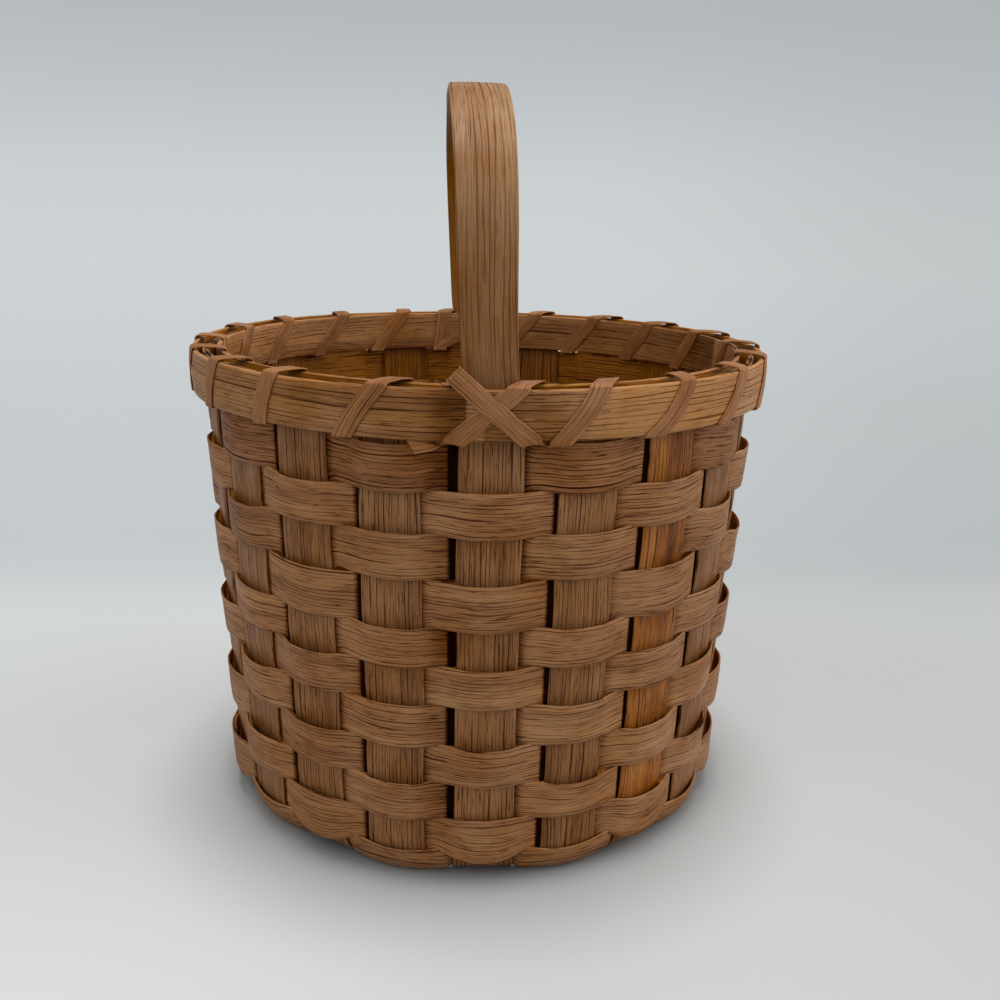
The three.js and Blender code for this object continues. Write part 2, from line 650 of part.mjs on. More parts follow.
const rimRow = { start: RIM_ROW_START, legsInside: false, crown: RIM_ROW_CROWN, flare: 0, shortLap: true };
const rimRowTop = BODY_HEIGHT - STAKE_TOP_DROP;
add('weaver_row_rim', wallRowGeometry(RIM_BOTTOM + CLEARANCE, rimRowTop, rimRow), OAK);
ROWS.forEach(({ start, bottom, top }, index) => {
  const number = String(ROWS.length - index).padStart(2, '0');
  const row = { start, legsInside: top > LEG_END, crown: WEAVER_CROWN, flare: WEAVER_FLARE, shortLap: false };
  add(`weaver_row_${number}`, wallRowGeometry(bottom, top, row), OAK);
});
const footRow = { start: FOOT_ROW_START, legsInside: false, crown: FOOT_ROW_CROWN, shortLap: false };
add(`weaver_row_${ROWS.length + 1}`, footRowGeometry(footRow), OAK);

add('rim_outer_hoop', hoopGeometry(OUTER_HOOP_INNER, RIM_RADIUS, OUTER_SCARF_END), OAK_RIM);
add('rim_inner_hoop', hoopGeometry(INNER_HOOP_INNER, INNER_HOOP_OUTER, INNER_SCARF_END), OAK_RIM);
add('handle', handleGeometry(), OAK_HANDLE);

const lashing = lashPlaces();
add('rim_lashing', loft(lashing.map(lashSection)), OAK_LASHING);
console.log(`least gap of the rim lashing to itself: ${leastSelfGap(lashing).toFixed(2)} mm`);

export default basket;
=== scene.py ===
"""Round basket of split oak with a lashed rim and a bent hoop handle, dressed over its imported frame.

Lengths are in metres and angles in degrees, counter-clockwise from the front (-Y) seen from above.
Every piece of the basket is a flat strip. Most are described by their course: where the strip's middle
runs and how it lies there. The weavers follow one over-and-under rule and are made by Geometry Nodes.
"""

import ast
import logging
import math
import operator
import textwrap
from dataclasses import dataclass, field, replace
from enum import Enum

import bpy
import numpy as np
from mathutils import Matrix, Vector

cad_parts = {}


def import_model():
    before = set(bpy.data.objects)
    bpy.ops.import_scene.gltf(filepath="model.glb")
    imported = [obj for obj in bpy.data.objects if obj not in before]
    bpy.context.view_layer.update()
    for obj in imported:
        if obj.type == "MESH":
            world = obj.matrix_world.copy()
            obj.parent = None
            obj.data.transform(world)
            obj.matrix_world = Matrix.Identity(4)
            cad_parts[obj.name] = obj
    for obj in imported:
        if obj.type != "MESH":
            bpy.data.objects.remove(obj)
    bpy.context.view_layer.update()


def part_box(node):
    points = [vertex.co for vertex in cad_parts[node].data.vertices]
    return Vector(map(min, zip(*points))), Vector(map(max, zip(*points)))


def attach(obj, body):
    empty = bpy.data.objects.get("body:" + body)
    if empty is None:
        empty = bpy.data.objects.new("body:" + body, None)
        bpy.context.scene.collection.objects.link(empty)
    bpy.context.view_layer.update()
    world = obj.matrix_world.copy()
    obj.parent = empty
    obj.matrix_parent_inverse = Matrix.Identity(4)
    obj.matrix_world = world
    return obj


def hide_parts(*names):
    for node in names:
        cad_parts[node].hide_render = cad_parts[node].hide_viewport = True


log = logging.getLogger("basket")

Numbers = float | np.ndarray
MM = 0.001
UPRIGHTS = 20
PITCH = 360 / UPRIGHTS
HALF_SPACE = PITCH / 2
CLEARANCE = 0.3 * MM
SHARP_ANGLE = 50
SIGNS = {
    ast.Add: ("ADD", operator.add),
    ast.Sub: ("SUBTRACT", operator.sub),
    ast.Mult: ("MULTIPLY", operator.mul),
    ast.Div: ("DIVIDE", operator.truediv),
    ast.Pow: ("POWER", operator.pow),
}


class Slot(Enum):
    """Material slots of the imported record."""

    UPRIGHT = "oak_upright"
    HEARTWOOD = "heartwood_upright"
    WEAVER = "oak_weaver"
    RIM = "oak_rim"
    HANDLE = "oak_handle"
    LASHING = "oak_lashing"


def linear(colour: str) -> tuple[float, float, float, float]:
    """Turns an sRGB hex colour into linear red, green, blue and alpha.

    Args:
        colour: Six hex digits.

    Returns:
        The linear colour, opaque.
    """
    parts = [int(colour[i : i + 2], 16) / 255 for i in (0, 2, 4)]
    red, green, blue = (p / 12.92 if p <= 0.04045 else ((p + 0.055) / 1.055) ** 2.4 for p in parts)
    return red, green, blue, 1.0


class Graph:
    """A node tree that is being built, with names for the outputs and numbers that its formulas use."""

    def __init__(self, tree: bpy.types.NodeTree, **names: float) -> None:
        """Empties the tree.

        Args:
            tree: The node tree.
            **names: Numbers that its formulas name.
        """
        tree.nodes.clear()
        self.tree = tree
        self.names = {"mm": MM, "pi": math.pi, **names}

    def add(self, kind: str, inputs: tuple | dict = (), **settings: object) -> bpy.types.NodeSocket:
        """Adds a node with its settings and links.

        Args:
            kind: The node's type.
            inputs: What goes into its sockets, in order or by name: a value to set, an output to link or a
                formula's text.
            **settings: The node's own properties. stops gives a colour ramp's places and hex colours.

        Returns:
            The node's first output. Its other outputs are at the socket's node.
        """
        node = self.tree.nodes.new(kind)
        for index, (place, colour) in enumerate(settings.pop("stops", ())):
            elements = node.color_ramp.elements
            element = elements[index] if index < len(elements) else elements.new(place)
            element.position = place
            element.color = linear(colour)
        for name, value in settings.items():
            setattr(node, name, value)
        for key, value in inputs.items() if isinstance(inputs, dict) else enumerate(inputs):
            socket = node.inputs[key]
            if isinstance(value, str) and socket.type != "STRING":
                value = self.work(value)
            if isinstance(value, bpy.types.NodeSocket):
                self.tree.links.new(value, socket)
            else:
                socket.default_value = value
        return node.outputs[0] if node.outputs else None

    def split(self, vector: bpy.types.NodeSocket, *names: str) -> None:
        """Names the three parts of a vector."""
        parts = self.add("ShaderNodeSeparateXYZ", (vector,)).node.outputs
        self.names.update(zip(names, parts))

    def work(self, text: str) -> bpy.types.NodeSocket | float:
        """Builds Math nodes for written formulas.

        Args:
            text: Formulas, one after another. One such as "area = width * height" names its outcome for
                the next. A function is a Math node's operation in small letters, or smooth(value, first,
                last, low, high), a Map Range node that eases from low to high.

        Returns:
            The last formula's output, or its number where it holds no output.
        """
        outcome = 0.0
        for line in ast.parse(textwrap.dedent(text)).body:
            outcome = self.value_of(line.value)
            if isinstance(line, ast.Assign):
                self.names[line.targets[0].id] = outcome
        return outcome

    def value_of(self, part: ast.AST) -> bpy.types.NodeSocket | float:
        """Value or output of one part of a formula."""
        if isinstance(part, ast.Constant):
            return float(part.value)
        if isinstance(part, ast.Name):
            return self.names[part.id]
        if isinstance(part, ast.UnaryOp):
            return self.join(ast.Mult, (self.value_of(part.operand), -1.0))
        if isinstance(part, ast.BinOp):
            return self.join(type(part.op), (self.value_of(part.left), self.value_of(part.right)))
        terms = [self.value_of(term) for term in part.args]
        if part.func.id == "smooth":
            return self.add("ShaderNodeMapRange", terms, interpolation_type="SMOOTHSTEP")
        return self.add("ShaderNodeMath", terms, operation=part.func.id.upper())

    def join(self, sign: type, terms: tuple) -> bpy.types.NodeSocket | float:
        """Two terms under a sign: a node, or a number where both are numbers."""
        operation, plain = SIGNS[sign]
        if any(isinstance(term, bpy.types.NodeSocket) for term in terms):
            return self.add("ShaderNodeMath", terms, operation=operation)
        return plain(*terms)


def columns(*parts: Numbers) -> np.ndarray:
    """Numbers and arrays side by side, as the columns of one table."""
    return np.stack(np.broadcast_arrays(*parts), axis=-1)


def polar(angle: Numbers, radius: Numbers, height: Numbers) -> np.ndarray:
    """Points at angles from the front, as rows of x, y and z."""
    turn = np.radians(angle)
    return columns(radius * np.sin(turn), -radius * np.cos(turn), height)


def along_wall(angle: Numbers) -> np.ndarray:
    """The level direction along the wall at angles."""
    turn = np.radians(angle)
    return columns(np.cos(turn), np.sin(turn), 0.0)


def tilted(angle: Numbers, tilt: Numbers) -> np.ndarray:
    """Directions outwards from the axis that dip by a tilt in degrees."""
    dip = np.radians(tilt)
    return polar(angle, np.cos(dip), -np.sin(dip))


def travelled(points: np.ndarray) -> np.ndarray:
    """How far along the line of points each of them lies."""
    steps = np.linalg.norm(np.diff(points, axis=0), axis=1)
    return np.concatenate(([0], np.cumsum(steps)))


def unit(vectors: np.ndarray) -> np.ndarray:
    """The vectors at length one."""
    return vectors / np.linalg.norm(vectors, axis=-1, keepdims=True)


def ease(value: Numbers) -> np.ndarray:
    """A smooth step from 0 to 1 as the value goes from 0 to 1."""
    held = np.clip(value, 0, 1)
    return held * held * (3 - 2 * held)


def sway(distance: np.ndarray, wave: float, seed: int) -> np.ndarray:
    """A smooth, seeded wander between about -1 and 1.

    Args:
        distance: Distances along a strip.
        wave: The usual length of one swing.
        seed: Which wander it is.

    Returns:
        The wander at each distance.
    """
    phases = np.random.default_rng(seed).uniform(0, 2 * np.pi, 3)
    turns = 2 * np.pi * distance / wave
    return sum(np.sin(turns * rate + phase) for rate, phase in zip((0.6, 1, 1.7), phases)) / 2.2


def put(name: str, data: bpy.types.ID) -> bpy.types.Object:
    """A new object in the scene."""
    made = bpy.data.objects.new(name, data)
    bpy.context.scene.collection.objects.link(made)
    return made


def dress(mesh: bpy.types.Mesh, name: str, finish: bpy.types.Material, slot: Slot, *nodes: str) -> None:
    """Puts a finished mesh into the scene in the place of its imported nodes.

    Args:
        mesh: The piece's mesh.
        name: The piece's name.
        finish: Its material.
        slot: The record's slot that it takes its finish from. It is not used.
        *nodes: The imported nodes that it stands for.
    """
    mesh.name = name
    mesh.materials.clear()
    mesh.materials.append(finish)
    mesh.shade_smooth()
    mesh.set_sharp_from_angle(angle=math.radians(SHARP_ANGLE))
    piece = put(name, mesh)
    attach(piece, "root")
    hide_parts(*nodes)
    log.info("%s: %d faces", name, len(mesh.polygons))


@dataclass
class Course:
    """Where a flat strip runs and how it lies there, section by section from one end to the other.

    Attributes:
        centre: Middle of each section.
        across: Unit vector along its width.
        out: Unit vector through its thickness, towards its outer face.
        width: Width of each section.
        thickness: Thickness of each section at its middle.
        strip: Number of the strip, which gives it a grain of its own.
        edge: Radius of the rounded edges.
        dome: How much lower the outer face lies at its edges than at its middle.
        points: Points across each face.
        fresh: At each section, how much paler (above 0) or darker (below 0) the outer face is: from fresh
            cuts and stain, and from painted light and painted shade.
    """

    centre: np.ndarray
    across: np.ndarray
    out: np.ndarray
    width: np.ndarray
    thickness: np.ndarray
    strip: int
    edge: float = 0.35 * MM
    dome: float = 0.0
    points: int = 6
    fresh: np.ndarray | float = 0.0

    def mesh(self) -> bpy.types.Mesh:
        """Lofts the strip with rounded edges and closed ends.

        Returns:
            A closed mesh with the grain's directions and the tone in its point attributes.
        """
        arc = np.radians((30, 60, 90))
        span = np.linspace(-1, 1, self.points)
        near, far, flat = np.ones(3), -np.ones(3), np.zeros(self.points)
        side = np.concatenate((span, near, near, span[::-1], far, far))
        sine, cosine = np.sin(arc), np.cos(arc)
        back_sine, back_cosine = np.sin(arc[::-1]), np.cos(arc[::-1])
        side_edge = np.concatenate((flat, sine, back_sine, flat, -sine, -back_sine))
        face = np.concatenate((flat + 1, near, far, flat - 1, far, near))
        face_edge = np.concatenate((flat + 1, cosine, -back_cosine, flat - 1, -cosine, back_cosine))
        count = len(self.centre)
        half = np.broadcast_to(self.width, count)[:, None] / 2
        thick = np.broadcast_to(self.thickness, count)[:, None] / 2
        edge = np.minimum(self.edge, 0.98 * thick)
        a = side * (half - edge) + side_edge * edge
        b = face * (thick - edge) + face_edge * edge
        b -= np.where(face > 0, np.minimum(self.dome, 0.8 * thick) * (a / half) ** 2, 0)
        corners = self.centre[:, None] + a[..., None] * self.across[:, None]
        corners += b[..., None] * self.out[:, None]
        middle = count // 2
        ahead = self.centre[middle + 1] - self.centre[middle]
        turned = np.dot(np.cross(self.across[middle], self.out[middle]), ahead)
        ring = len(side)
        here = np.arange(ring)
        beside = (here + 1) % ring
        first = (np.arange(count - 1) * ring)[:, None]
        here_ahead, beside_ahead = first + here + ring, first + beside + ring
        quads = columns(first + here, here_ahead, beside_ahead, first + beside).reshape(-1, 4)
        ends = [list(here), list(here[::-1] + (count - 1) * ring)]
        if turned < 0:
            quads = quads[:, ::-1]
            ends = [end[::-1] for end in ends]
        mesh = bpy.data.meshes.new("strip")
        mesh.from_pydata(corners.reshape(-1, 3).tolist(), [], quads.tolist() + ends)
        blank = np.zeros_like(a)
        fresh = np.broadcast_to(self.fresh, count)[:, None] * (face > 0)
        self.store(mesh, "grain", travelled(self.centre)[:, None] + blank, a, blank + self.strip)
        self.store(mesh, "tone", fresh + blank, blank + (face < 0), blank + np.abs(side_edge))
        return mesh

    @staticmethod
    def store(mesh: bpy.types.Mesh, name: str, *parts: np.ndarray) -> None:
        """Writes a vector attribute on the mesh's points."""
        values = columns(*parts).astype(np.float32).ravel()
        mesh.attributes.new(name, "FLOAT_VECTOR", "POINT").data.foreach_set("vector", values)


@dataclass(frozen=True)
class SplitOak:
    """White oak split along its rings, shaved and stained.

    Splitting follows the fibres, so the pores show as long fine dark lines and the rings as broad soft
    bands. The stain sinks into the pores and soft rings, and wears off the sharp edges. The surface is
    shaved, not sanded: satin, with the pores open.

    Attributes:
        name: The material's name.
        pale: Dense late wood, where the stain barely takes.
        body: The usual colour.
        dark: Soft early wood.
        pore: Stain in the open pores.
        wander_length: Length over which the fibres swing aside.
        ring_gap: From one ring's line of pores to the next.
        line_length: Length over which such a line is strong or faint.
        pore_length: Length of an open pore between those lines. Real ones are thinner than these.
        band: Width of the broad light and dark bands.
        contrast: How strongly they show.
        depth: How much darker the pores are.
        inside: Lightness of the faces towards the inside, a painted shade of the basket's inside; they are
            also painted more saturated.
    """

    name: str
    pale: str
    body: str
    dark: str
    pore: str
    wander_length: float = 70 * MM
    ring_gap: float = 1.35 * MM
    line_length: float = 18 * MM
    pore_length: float = 8 * MM
    band: float = 6 * MM
    contrast: float = 1.0
    depth: float = 0.72
    inside: float = 0.9

    def build(self) -> bpy.types.Material:
        """Builds the material, which reads the strips' own attributes.

        Returns:
            The material.
        """
        material = bpy.data.materials.new(self.name)
        material.use_nodes = True
        graph = Graph(material.node_tree, **vars(self))
        parts = {"grain": ("along", "across", "strip"), "tone": ("fresh", "inward", "edge")}
        for attribute, names in parts.items():
            vector = graph.add("ShaderNodeAttribute", attribute_name=attribute).node.outputs["Vector"]
            graph.split(vector, *names)
        # The fibres wander by a millimetre or two, as the tree grew
        spot = ("along / wander_length", "strip * 3.7", "across / (14 * mm)")
        noise = {"Vector": graph.add("ShaderNodeCombineXYZ", spot), "Scale": 1.0, "Detail": 1.5}
        graph.names["wander"] = graph.add("ShaderNodeTexNoise", noise)
        graph.work("lane = across + (wander - 0.5) * (2.6 * mm)")
        # Noises drawn out along the fibres: their length and width, a seed and their detail
        noises = {
            "bands": (110 * MM, self.band, 7.3, 1.0),
            "drift": (160 * MM, 2.6 * self.ring_gap, 4.1, 1.0),
            "strength": (self.line_length, 0.8 * self.ring_gap, 6.7, 1.0),
            "fibres": (14 * MM, 0.34 * MM, 2.9, 1.5),
            "dashes": (self.pore_length, 0.36 * MM, 5.1, 1.0),
        }
        for name, (length, width, seed, detail) in noises.items():
            spot = (f"along / {length}", f"lane / {width}", f"strip * {seed}")
            noise = {"Vector": graph.add("ShaderNodeCombineXYZ", spot), "Scale": 1.0, "Detail": detail}
            graph.names[name] = graph.add("ShaderNodeTexNoise", noise)
        place = graph.add("ShaderNodeTexCoord").node.outputs["Object"]
        blotches = {"Vector": place, "Scale": 38.0, "Detail": 3.0, "Roughness": 0.6}
        graph.names["stain"] = graph.add("ShaderNodeTexNoise", blotches)
        graph.names["own"] = graph.add("ShaderNodeTexWhiteNoise", {"W": "strip"}, noise_dimensions="1D")
        # Each ring meets the face in a thin dark line. They run side by side, and their gaps vary. The
        # stain fills them and the open pores, and wears off the edges. The tone's first part makes the
        # outer face paler where freshly cut and darker where stained, and it also carries painted light and
        # painted shade; below -1 it is a deep painted shade. The faces towards the inside are painted
        # darker and more saturated, a painted shade of the basket's inside.
        graph.work("""
            from_line = absolute(fract(lane / ring_gap + drift * 2.6) - 0.5) * 2
            ring_line = smooth(from_line, 0.26, 0.08, 0, 1) * smooth(strength, 0.37, 0.57, 0.08, 1)
            pores = maximum(ring_line, smooth(dashes, 0.6, 0.68, 0, 1) * 0.65)
            grained = 0.22 + (bands - 0.5) * 0.65 * contrast + (fibres - 0.5) * 0.6 + pores * depth
            darkness = grained + (stain - 0.5) * 0.5 * contrast - fresh * 0.4 - edge * 0.16
            stained = minimum(maximum(-fresh, 0), 1)
            soaked = minimum(maximum(-fresh - 1, 0), 1)
            value = (0.93 + own * 0.14) * (1 - inward * (1 - inside)) * (1 - 0.5 * soaked)
            saturation = 1 + inward * (1 - edge) * 0.25 + (stain - 0.5) * 0.3
        """)
        stops = tuple(zip((0.0, 0.36, 0.72, 1.0), (self.pale, self.body, self.dark, self.pore)))
        wood = graph.add("ShaderNodeValToRGB", ("darkness",), stops=stops)
        colour = {"Saturation": "saturation", "Value": "value", "Color": wood}
        height = "fibres * 0.6 - pores * 0.8 + bands * 0.5"
        relief = {"Strength": 0.7, "Distance": 0.16 * MM, "Height": height}
        shader = graph.add("ShaderNodeBsdfPrincipled", {
            "Base Color": graph.add("ShaderNodeHueSaturation", colour),
            "Roughness": "0.52 + pores * 0.16 + (bands - 0.5) * 0.2",
            "Normal": graph.add("ShaderNodeBump", relief),
            "Specular IOR Level": "(0.26 - pores * 0.2) * (1 - stained)",
        })
        graph.add("ShaderNodeOutputMaterial", {"Surface": shader})
        return material


@dataclass(frozen=True)
class Body:
    """Sizes of the basket's body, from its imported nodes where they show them.

    Attributes:
        rim_top: Height of the hoops' upper edges.
        rim_bottom: Height of their lower edges.
        rim_radius: Outer face of the outer hoop.
        stake_top: Height of the uprights' cut ends.
        top_radius: Outer face of an upright there.
        stake_width: Width of an upright.
        stake_thickness: Its thickness.
        hoop_thickness: Thickness of a hoop.
        hoop_dome: How much its shaved face is domed.
        leg_thickness: Thickness of the handle's legs.
        lean: Degrees that the wall opens outwards.
        fold_radius: Outer radius of the fold from base to wall.
        base_pitch: From one plaited strip to the next in the base.
    """

    rim_top: float
    rim_bottom: float
    rim_radius: float
    stake_top: float
    top_radius: float
    stake_width: float
    stake_thickness: float = 1.1 * MM
    hoop_thickness: float = 2.4 * MM
    hoop_dome: float = 0.45 * MM
    leg_thickness: float = 1.5 * MM
    lean: float = 2.3
    fold_radius: float = 12 * MM
    base_pitch: float = 26 * MM

    @classmethod
    def measured(cls) -> "Body":
        """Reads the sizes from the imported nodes.

        Returns:
            The sizes, with the strips' thicknesses as their defaults.
        """
        low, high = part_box("rim_outer_hoop")
        stake_low, stake_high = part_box("stake_front_back_3")
        hoop = bpy.data.objects["rim_outer_hoop"].data.vertices
        return cls(
            rim_top=high.z,
            rim_bottom=low.z,
            rim_radius=max(math.hypot(corner.co.x, corner.co.y) for corner in hoop),
            stake_top=stake_high.z,
            top_radius=-stake_low.y,
            stake_width=stake_high.x - stake_low.x,
        )

    def hollow(self, height: Numbers) -> np.ndarray:
        """How far a hoop's domed face lies back at a height."""
        return self.hoop_dome * np.minimum(1, (2 * (height - self.rim_bottom) / self.rim_height - 1) ** 2)

    def wall(self, height: Numbers) -> np.ndarray:
        """Outer face of an upright at a height, on its centre line."""
        return self.top_radius + (height - self.stake_top) * math.tan(math.radians(self.lean))

    @property
    def rim_height(self) -> float:
        """Height of a hoop."""
        return self.rim_top - self.rim_bottom

    @property
    def foot_height(self) -> float:
        """Height where the fold ends and the straight wall begins."""
        return self.fold_radius * (1 - math.sin(math.radians(self.lean)))

    @property
    def fold_top(self) -> tuple[float, float]:
        """Radius and height of an upright's middle where the fold ends."""
        lean = math.radians(self.lean)
        reach = self.fold_radius - self.stake_thickness / 2
        return self.floor_radius + reach * math.cos(lean), self.fold_radius - reach * math.sin(lean)

    @property
    def floor_radius(self) -> float:
        """From the axis to where an upright leaves the floor."""
        return float(self.wall(self.foot_height)) - self.fold_radius * math.cos(math.radians(self.lean))

    @property
    def inner_hoop_outer(self) -> float:
        """Outer face of the inner hoop."""
        within = self.stake_thickness + self.leg_thickness + 2 * CLEARANCE
        return float(self.wall(self.rim_bottom)) - within


@dataclass(frozen=True)
class Uprights:
    """Ten strips plaited into the square base and folded up into twenty uprights.

    Attributes:
        body: The basket's sizes.
        places: Places of the strips in a row of five.
        heartwood: Place of the front-to-back strip that is split from heartwood.
        wave: How far an upright gives way to the weavers, in and out.
        press: Height over which a weaver presses on it.
        wander: How far it wanders sideways on the wall.
        wander_length: The usual length of one such swing.
        held: Height below the rim over which the hoops hold it straight.
        uneven: How much narrower it gets in places.
        uneven_length: The usual distance between two such places.
        step: Distance between sections on the wall.
    """

    body: Body
    places: tuple[int, ...] = (-2, -1, 0, 1, 2)
    heartwood: int = 2
    wave: float = 0.28 * MM
    press: float = 6.5 * MM
    wander: float = 0.3 * MM
    wander_length: float = 90 * MM
    held: float = 40 * MM
    uneven: float = 0.35 * MM
    uneven_length: float = 120 * MM
    step: float = 3.4 * MM

    def half(self, facing: float, place: int, top_is_odd: bool, seed: int) -> tuple[np.ndarray, ...]:
        """One end of a strip, from the middle of the base out to the rim.

        Args:
            facing: The side it goes to.
            place: Its place in the row of five.
            top_is_odd: Which crossings it passes over.
            seed: Which wander it takes.

        Returns:
            Centre, across and out of each section.
        """
        body = self.body
        angle = facing + place * PITCH
        outwards, sideways, down = polar(facing, 1, 0), along_wall(facing), np.array((0.0, 0.0, -1.0))
        out_there, turned = polar(angle, 1, 0), along_wall(angle)
        # Over and under in the base, and flat across each strip that it crosses
        low = body.stake_thickness / 2
        rise = body.stake_thickness + CLEARANCE
        levels = [low + rise * ((abs(crossing + place) % 2 == 1) == top_is_odd) for crossing in range(3)]
        half_width = body.stake_width / 2
        gap = body.base_pitch - body.stake_width
        stations, heights = [0.25 * half_width, half_width], [levels[0], levels[0]]
        for crossing, (here, there) in enumerate(zip(levels, levels[1:]), 1):
            edge = crossing * body.base_pitch - half_width
            for share in (0.25, 0.5, 0.75, 1):
                stations.append(edge - gap * (1 - share))
                heights.append(here + float(ease(share)) * (there - here))
            for share in (1 / 3, 2 / 3, 1):
                stations.append(edge + body.stake_width * share)
                heights.append(there)
        base = np.array(stations)[:, None] * outwards + sideways * place * body.base_pitch
        base[:, 2] = heights
        # From the plaited square it swings round to its place on the wall
        square, fold = base[-1], polar(angle, body.floor_radius, low)
        run = float(np.linalg.norm(fold - square))
        share = np.linspace(0, 1, 8)[1:-1, None]
        swung = (1 + 2 * share) * (1 - share) ** 2 * square + share**2 * (3 - 2 * share) * fold
        swung += share * (1 - share) ** 2 * run * outwards + share**2 * (share - 1) * run * out_there
        # Then it bends up through the fold and follows the wall
        reach = body.fold_radius - low
        tilt = np.linspace(90, body.lean, 10)
        dip = np.radians(tilt)
        level = body.fold_radius - reach * np.sin(dip)
        folded = polar(angle, body.floor_radius + reach * np.cos(dip), level)
        count = round((body.stake_top - body.foot_height) / self.step)
        heights = np.linspace(body.foot_height, body.stake_top, count + 1)[1:]
        wander = self.wander * sway(heights, self.wander_length, seed)
        wander *= ease((body.rim_bottom - heights) / self.held)
        wall = polar(angle, body.wall(heights) - low + self.give(angle, heights), heights)
        wall += turned * wander[:, None]
        centre = np.concatenate((base, swung, folded, wall))
        across = np.broadcast_to(turned, centre.shape).copy()
        across[: len(base)] = sideways
        across[len(base) : len(base) + len(swung)] = unit(sideways * (1 - share) + turned * share)
        out = np.broadcast_to(down, centre.shape).copy()
        out[-len(tilt) - count :] = tilted(angle, np.append(tilt, np.full(count, body.lean)))
        return centre, across, out

    def give(self, angle: float, heights: np.ndarray) -> np.ndarray:
        """How far an upright stands out at heights, between the weavers that press it in and out."""
        upright = round(angle / PITCH) % UPRIGHTS
        wave = np.zeros_like(heights)
        for number in range(1, 11):
            low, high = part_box(f"weaver_row_{number:02d}")
            press = np.exp(-(((heights - (low.z + high.z) / 2) / self.press) ** 2))
            wave += press if (number + upright) % 2 else -press
        return wave * self.wave

    def build(self, finishes: dict[Slot, bpy.types.Material]) -> None:
        """Makes and dresses the ten strips.

        Args:
            finishes: The materials by slot.
        """
        for index, place in enumerate(self.places):
            for facing, name, top_is_odd in ((0, "front_back", False), (90, "side_side", True)):
                strip = 40 + 2 * index + (facing > 0)
                near = self.half(facing, place, top_is_odd, strip)
                far = self.half(facing + 180, -place, top_is_odd, strip + 20)
                # Each half's across points to its own right, so that of the far half is turned
                centre, across, out = (np.concatenate((sign * back[::-1], front))
                                       for sign, back, front in zip((1, -1, 1), far, near))
                slot = Slot.HEARTWOOD if facing == 0 and place == self.heartwood else Slot.UPRIGHT
                narrower = 1 + sway(travelled(centre), self.uneven_length, strip + 7)
                width = self.body.stake_width - self.uneven * narrower
                course = Course(centre, across, out, width, self.body.stake_thickness, strip)
                node = f"stake_{name}_{index + 1}"
                dress(course.mesh(), f"upright_{name}_{index + 1}", finishes[slot], slot, node)


@dataclass(frozen=True)
class Row:
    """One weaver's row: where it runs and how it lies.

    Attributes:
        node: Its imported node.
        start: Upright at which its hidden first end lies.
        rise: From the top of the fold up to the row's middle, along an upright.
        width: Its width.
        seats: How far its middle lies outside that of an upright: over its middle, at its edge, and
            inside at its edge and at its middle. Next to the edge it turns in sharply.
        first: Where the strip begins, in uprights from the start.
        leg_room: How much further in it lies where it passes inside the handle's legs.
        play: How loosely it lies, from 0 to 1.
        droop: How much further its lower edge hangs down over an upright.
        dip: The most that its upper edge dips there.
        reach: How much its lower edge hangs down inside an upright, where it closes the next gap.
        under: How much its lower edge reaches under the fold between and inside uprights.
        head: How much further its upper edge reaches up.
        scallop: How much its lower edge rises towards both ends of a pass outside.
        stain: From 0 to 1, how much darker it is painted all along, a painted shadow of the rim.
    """

    node: str
    start: float
    rise: float
    width: float
    seats: tuple[float, float, float, float] = (3.1 * MM, 2.15 * MM, -0.75 * MM, -1.35 * MM)
    first: float = 0.0
    leg_room: float = 0.0
    play: float = 1.0
    droop: float = 1.8 * MM
    dip: float = 1.5 * MM
    reach: float = 2.5 * MM
    under: float = 0.0
    head: float = 0.0
    scallop: float = 0.0
    stain: float = 0.0


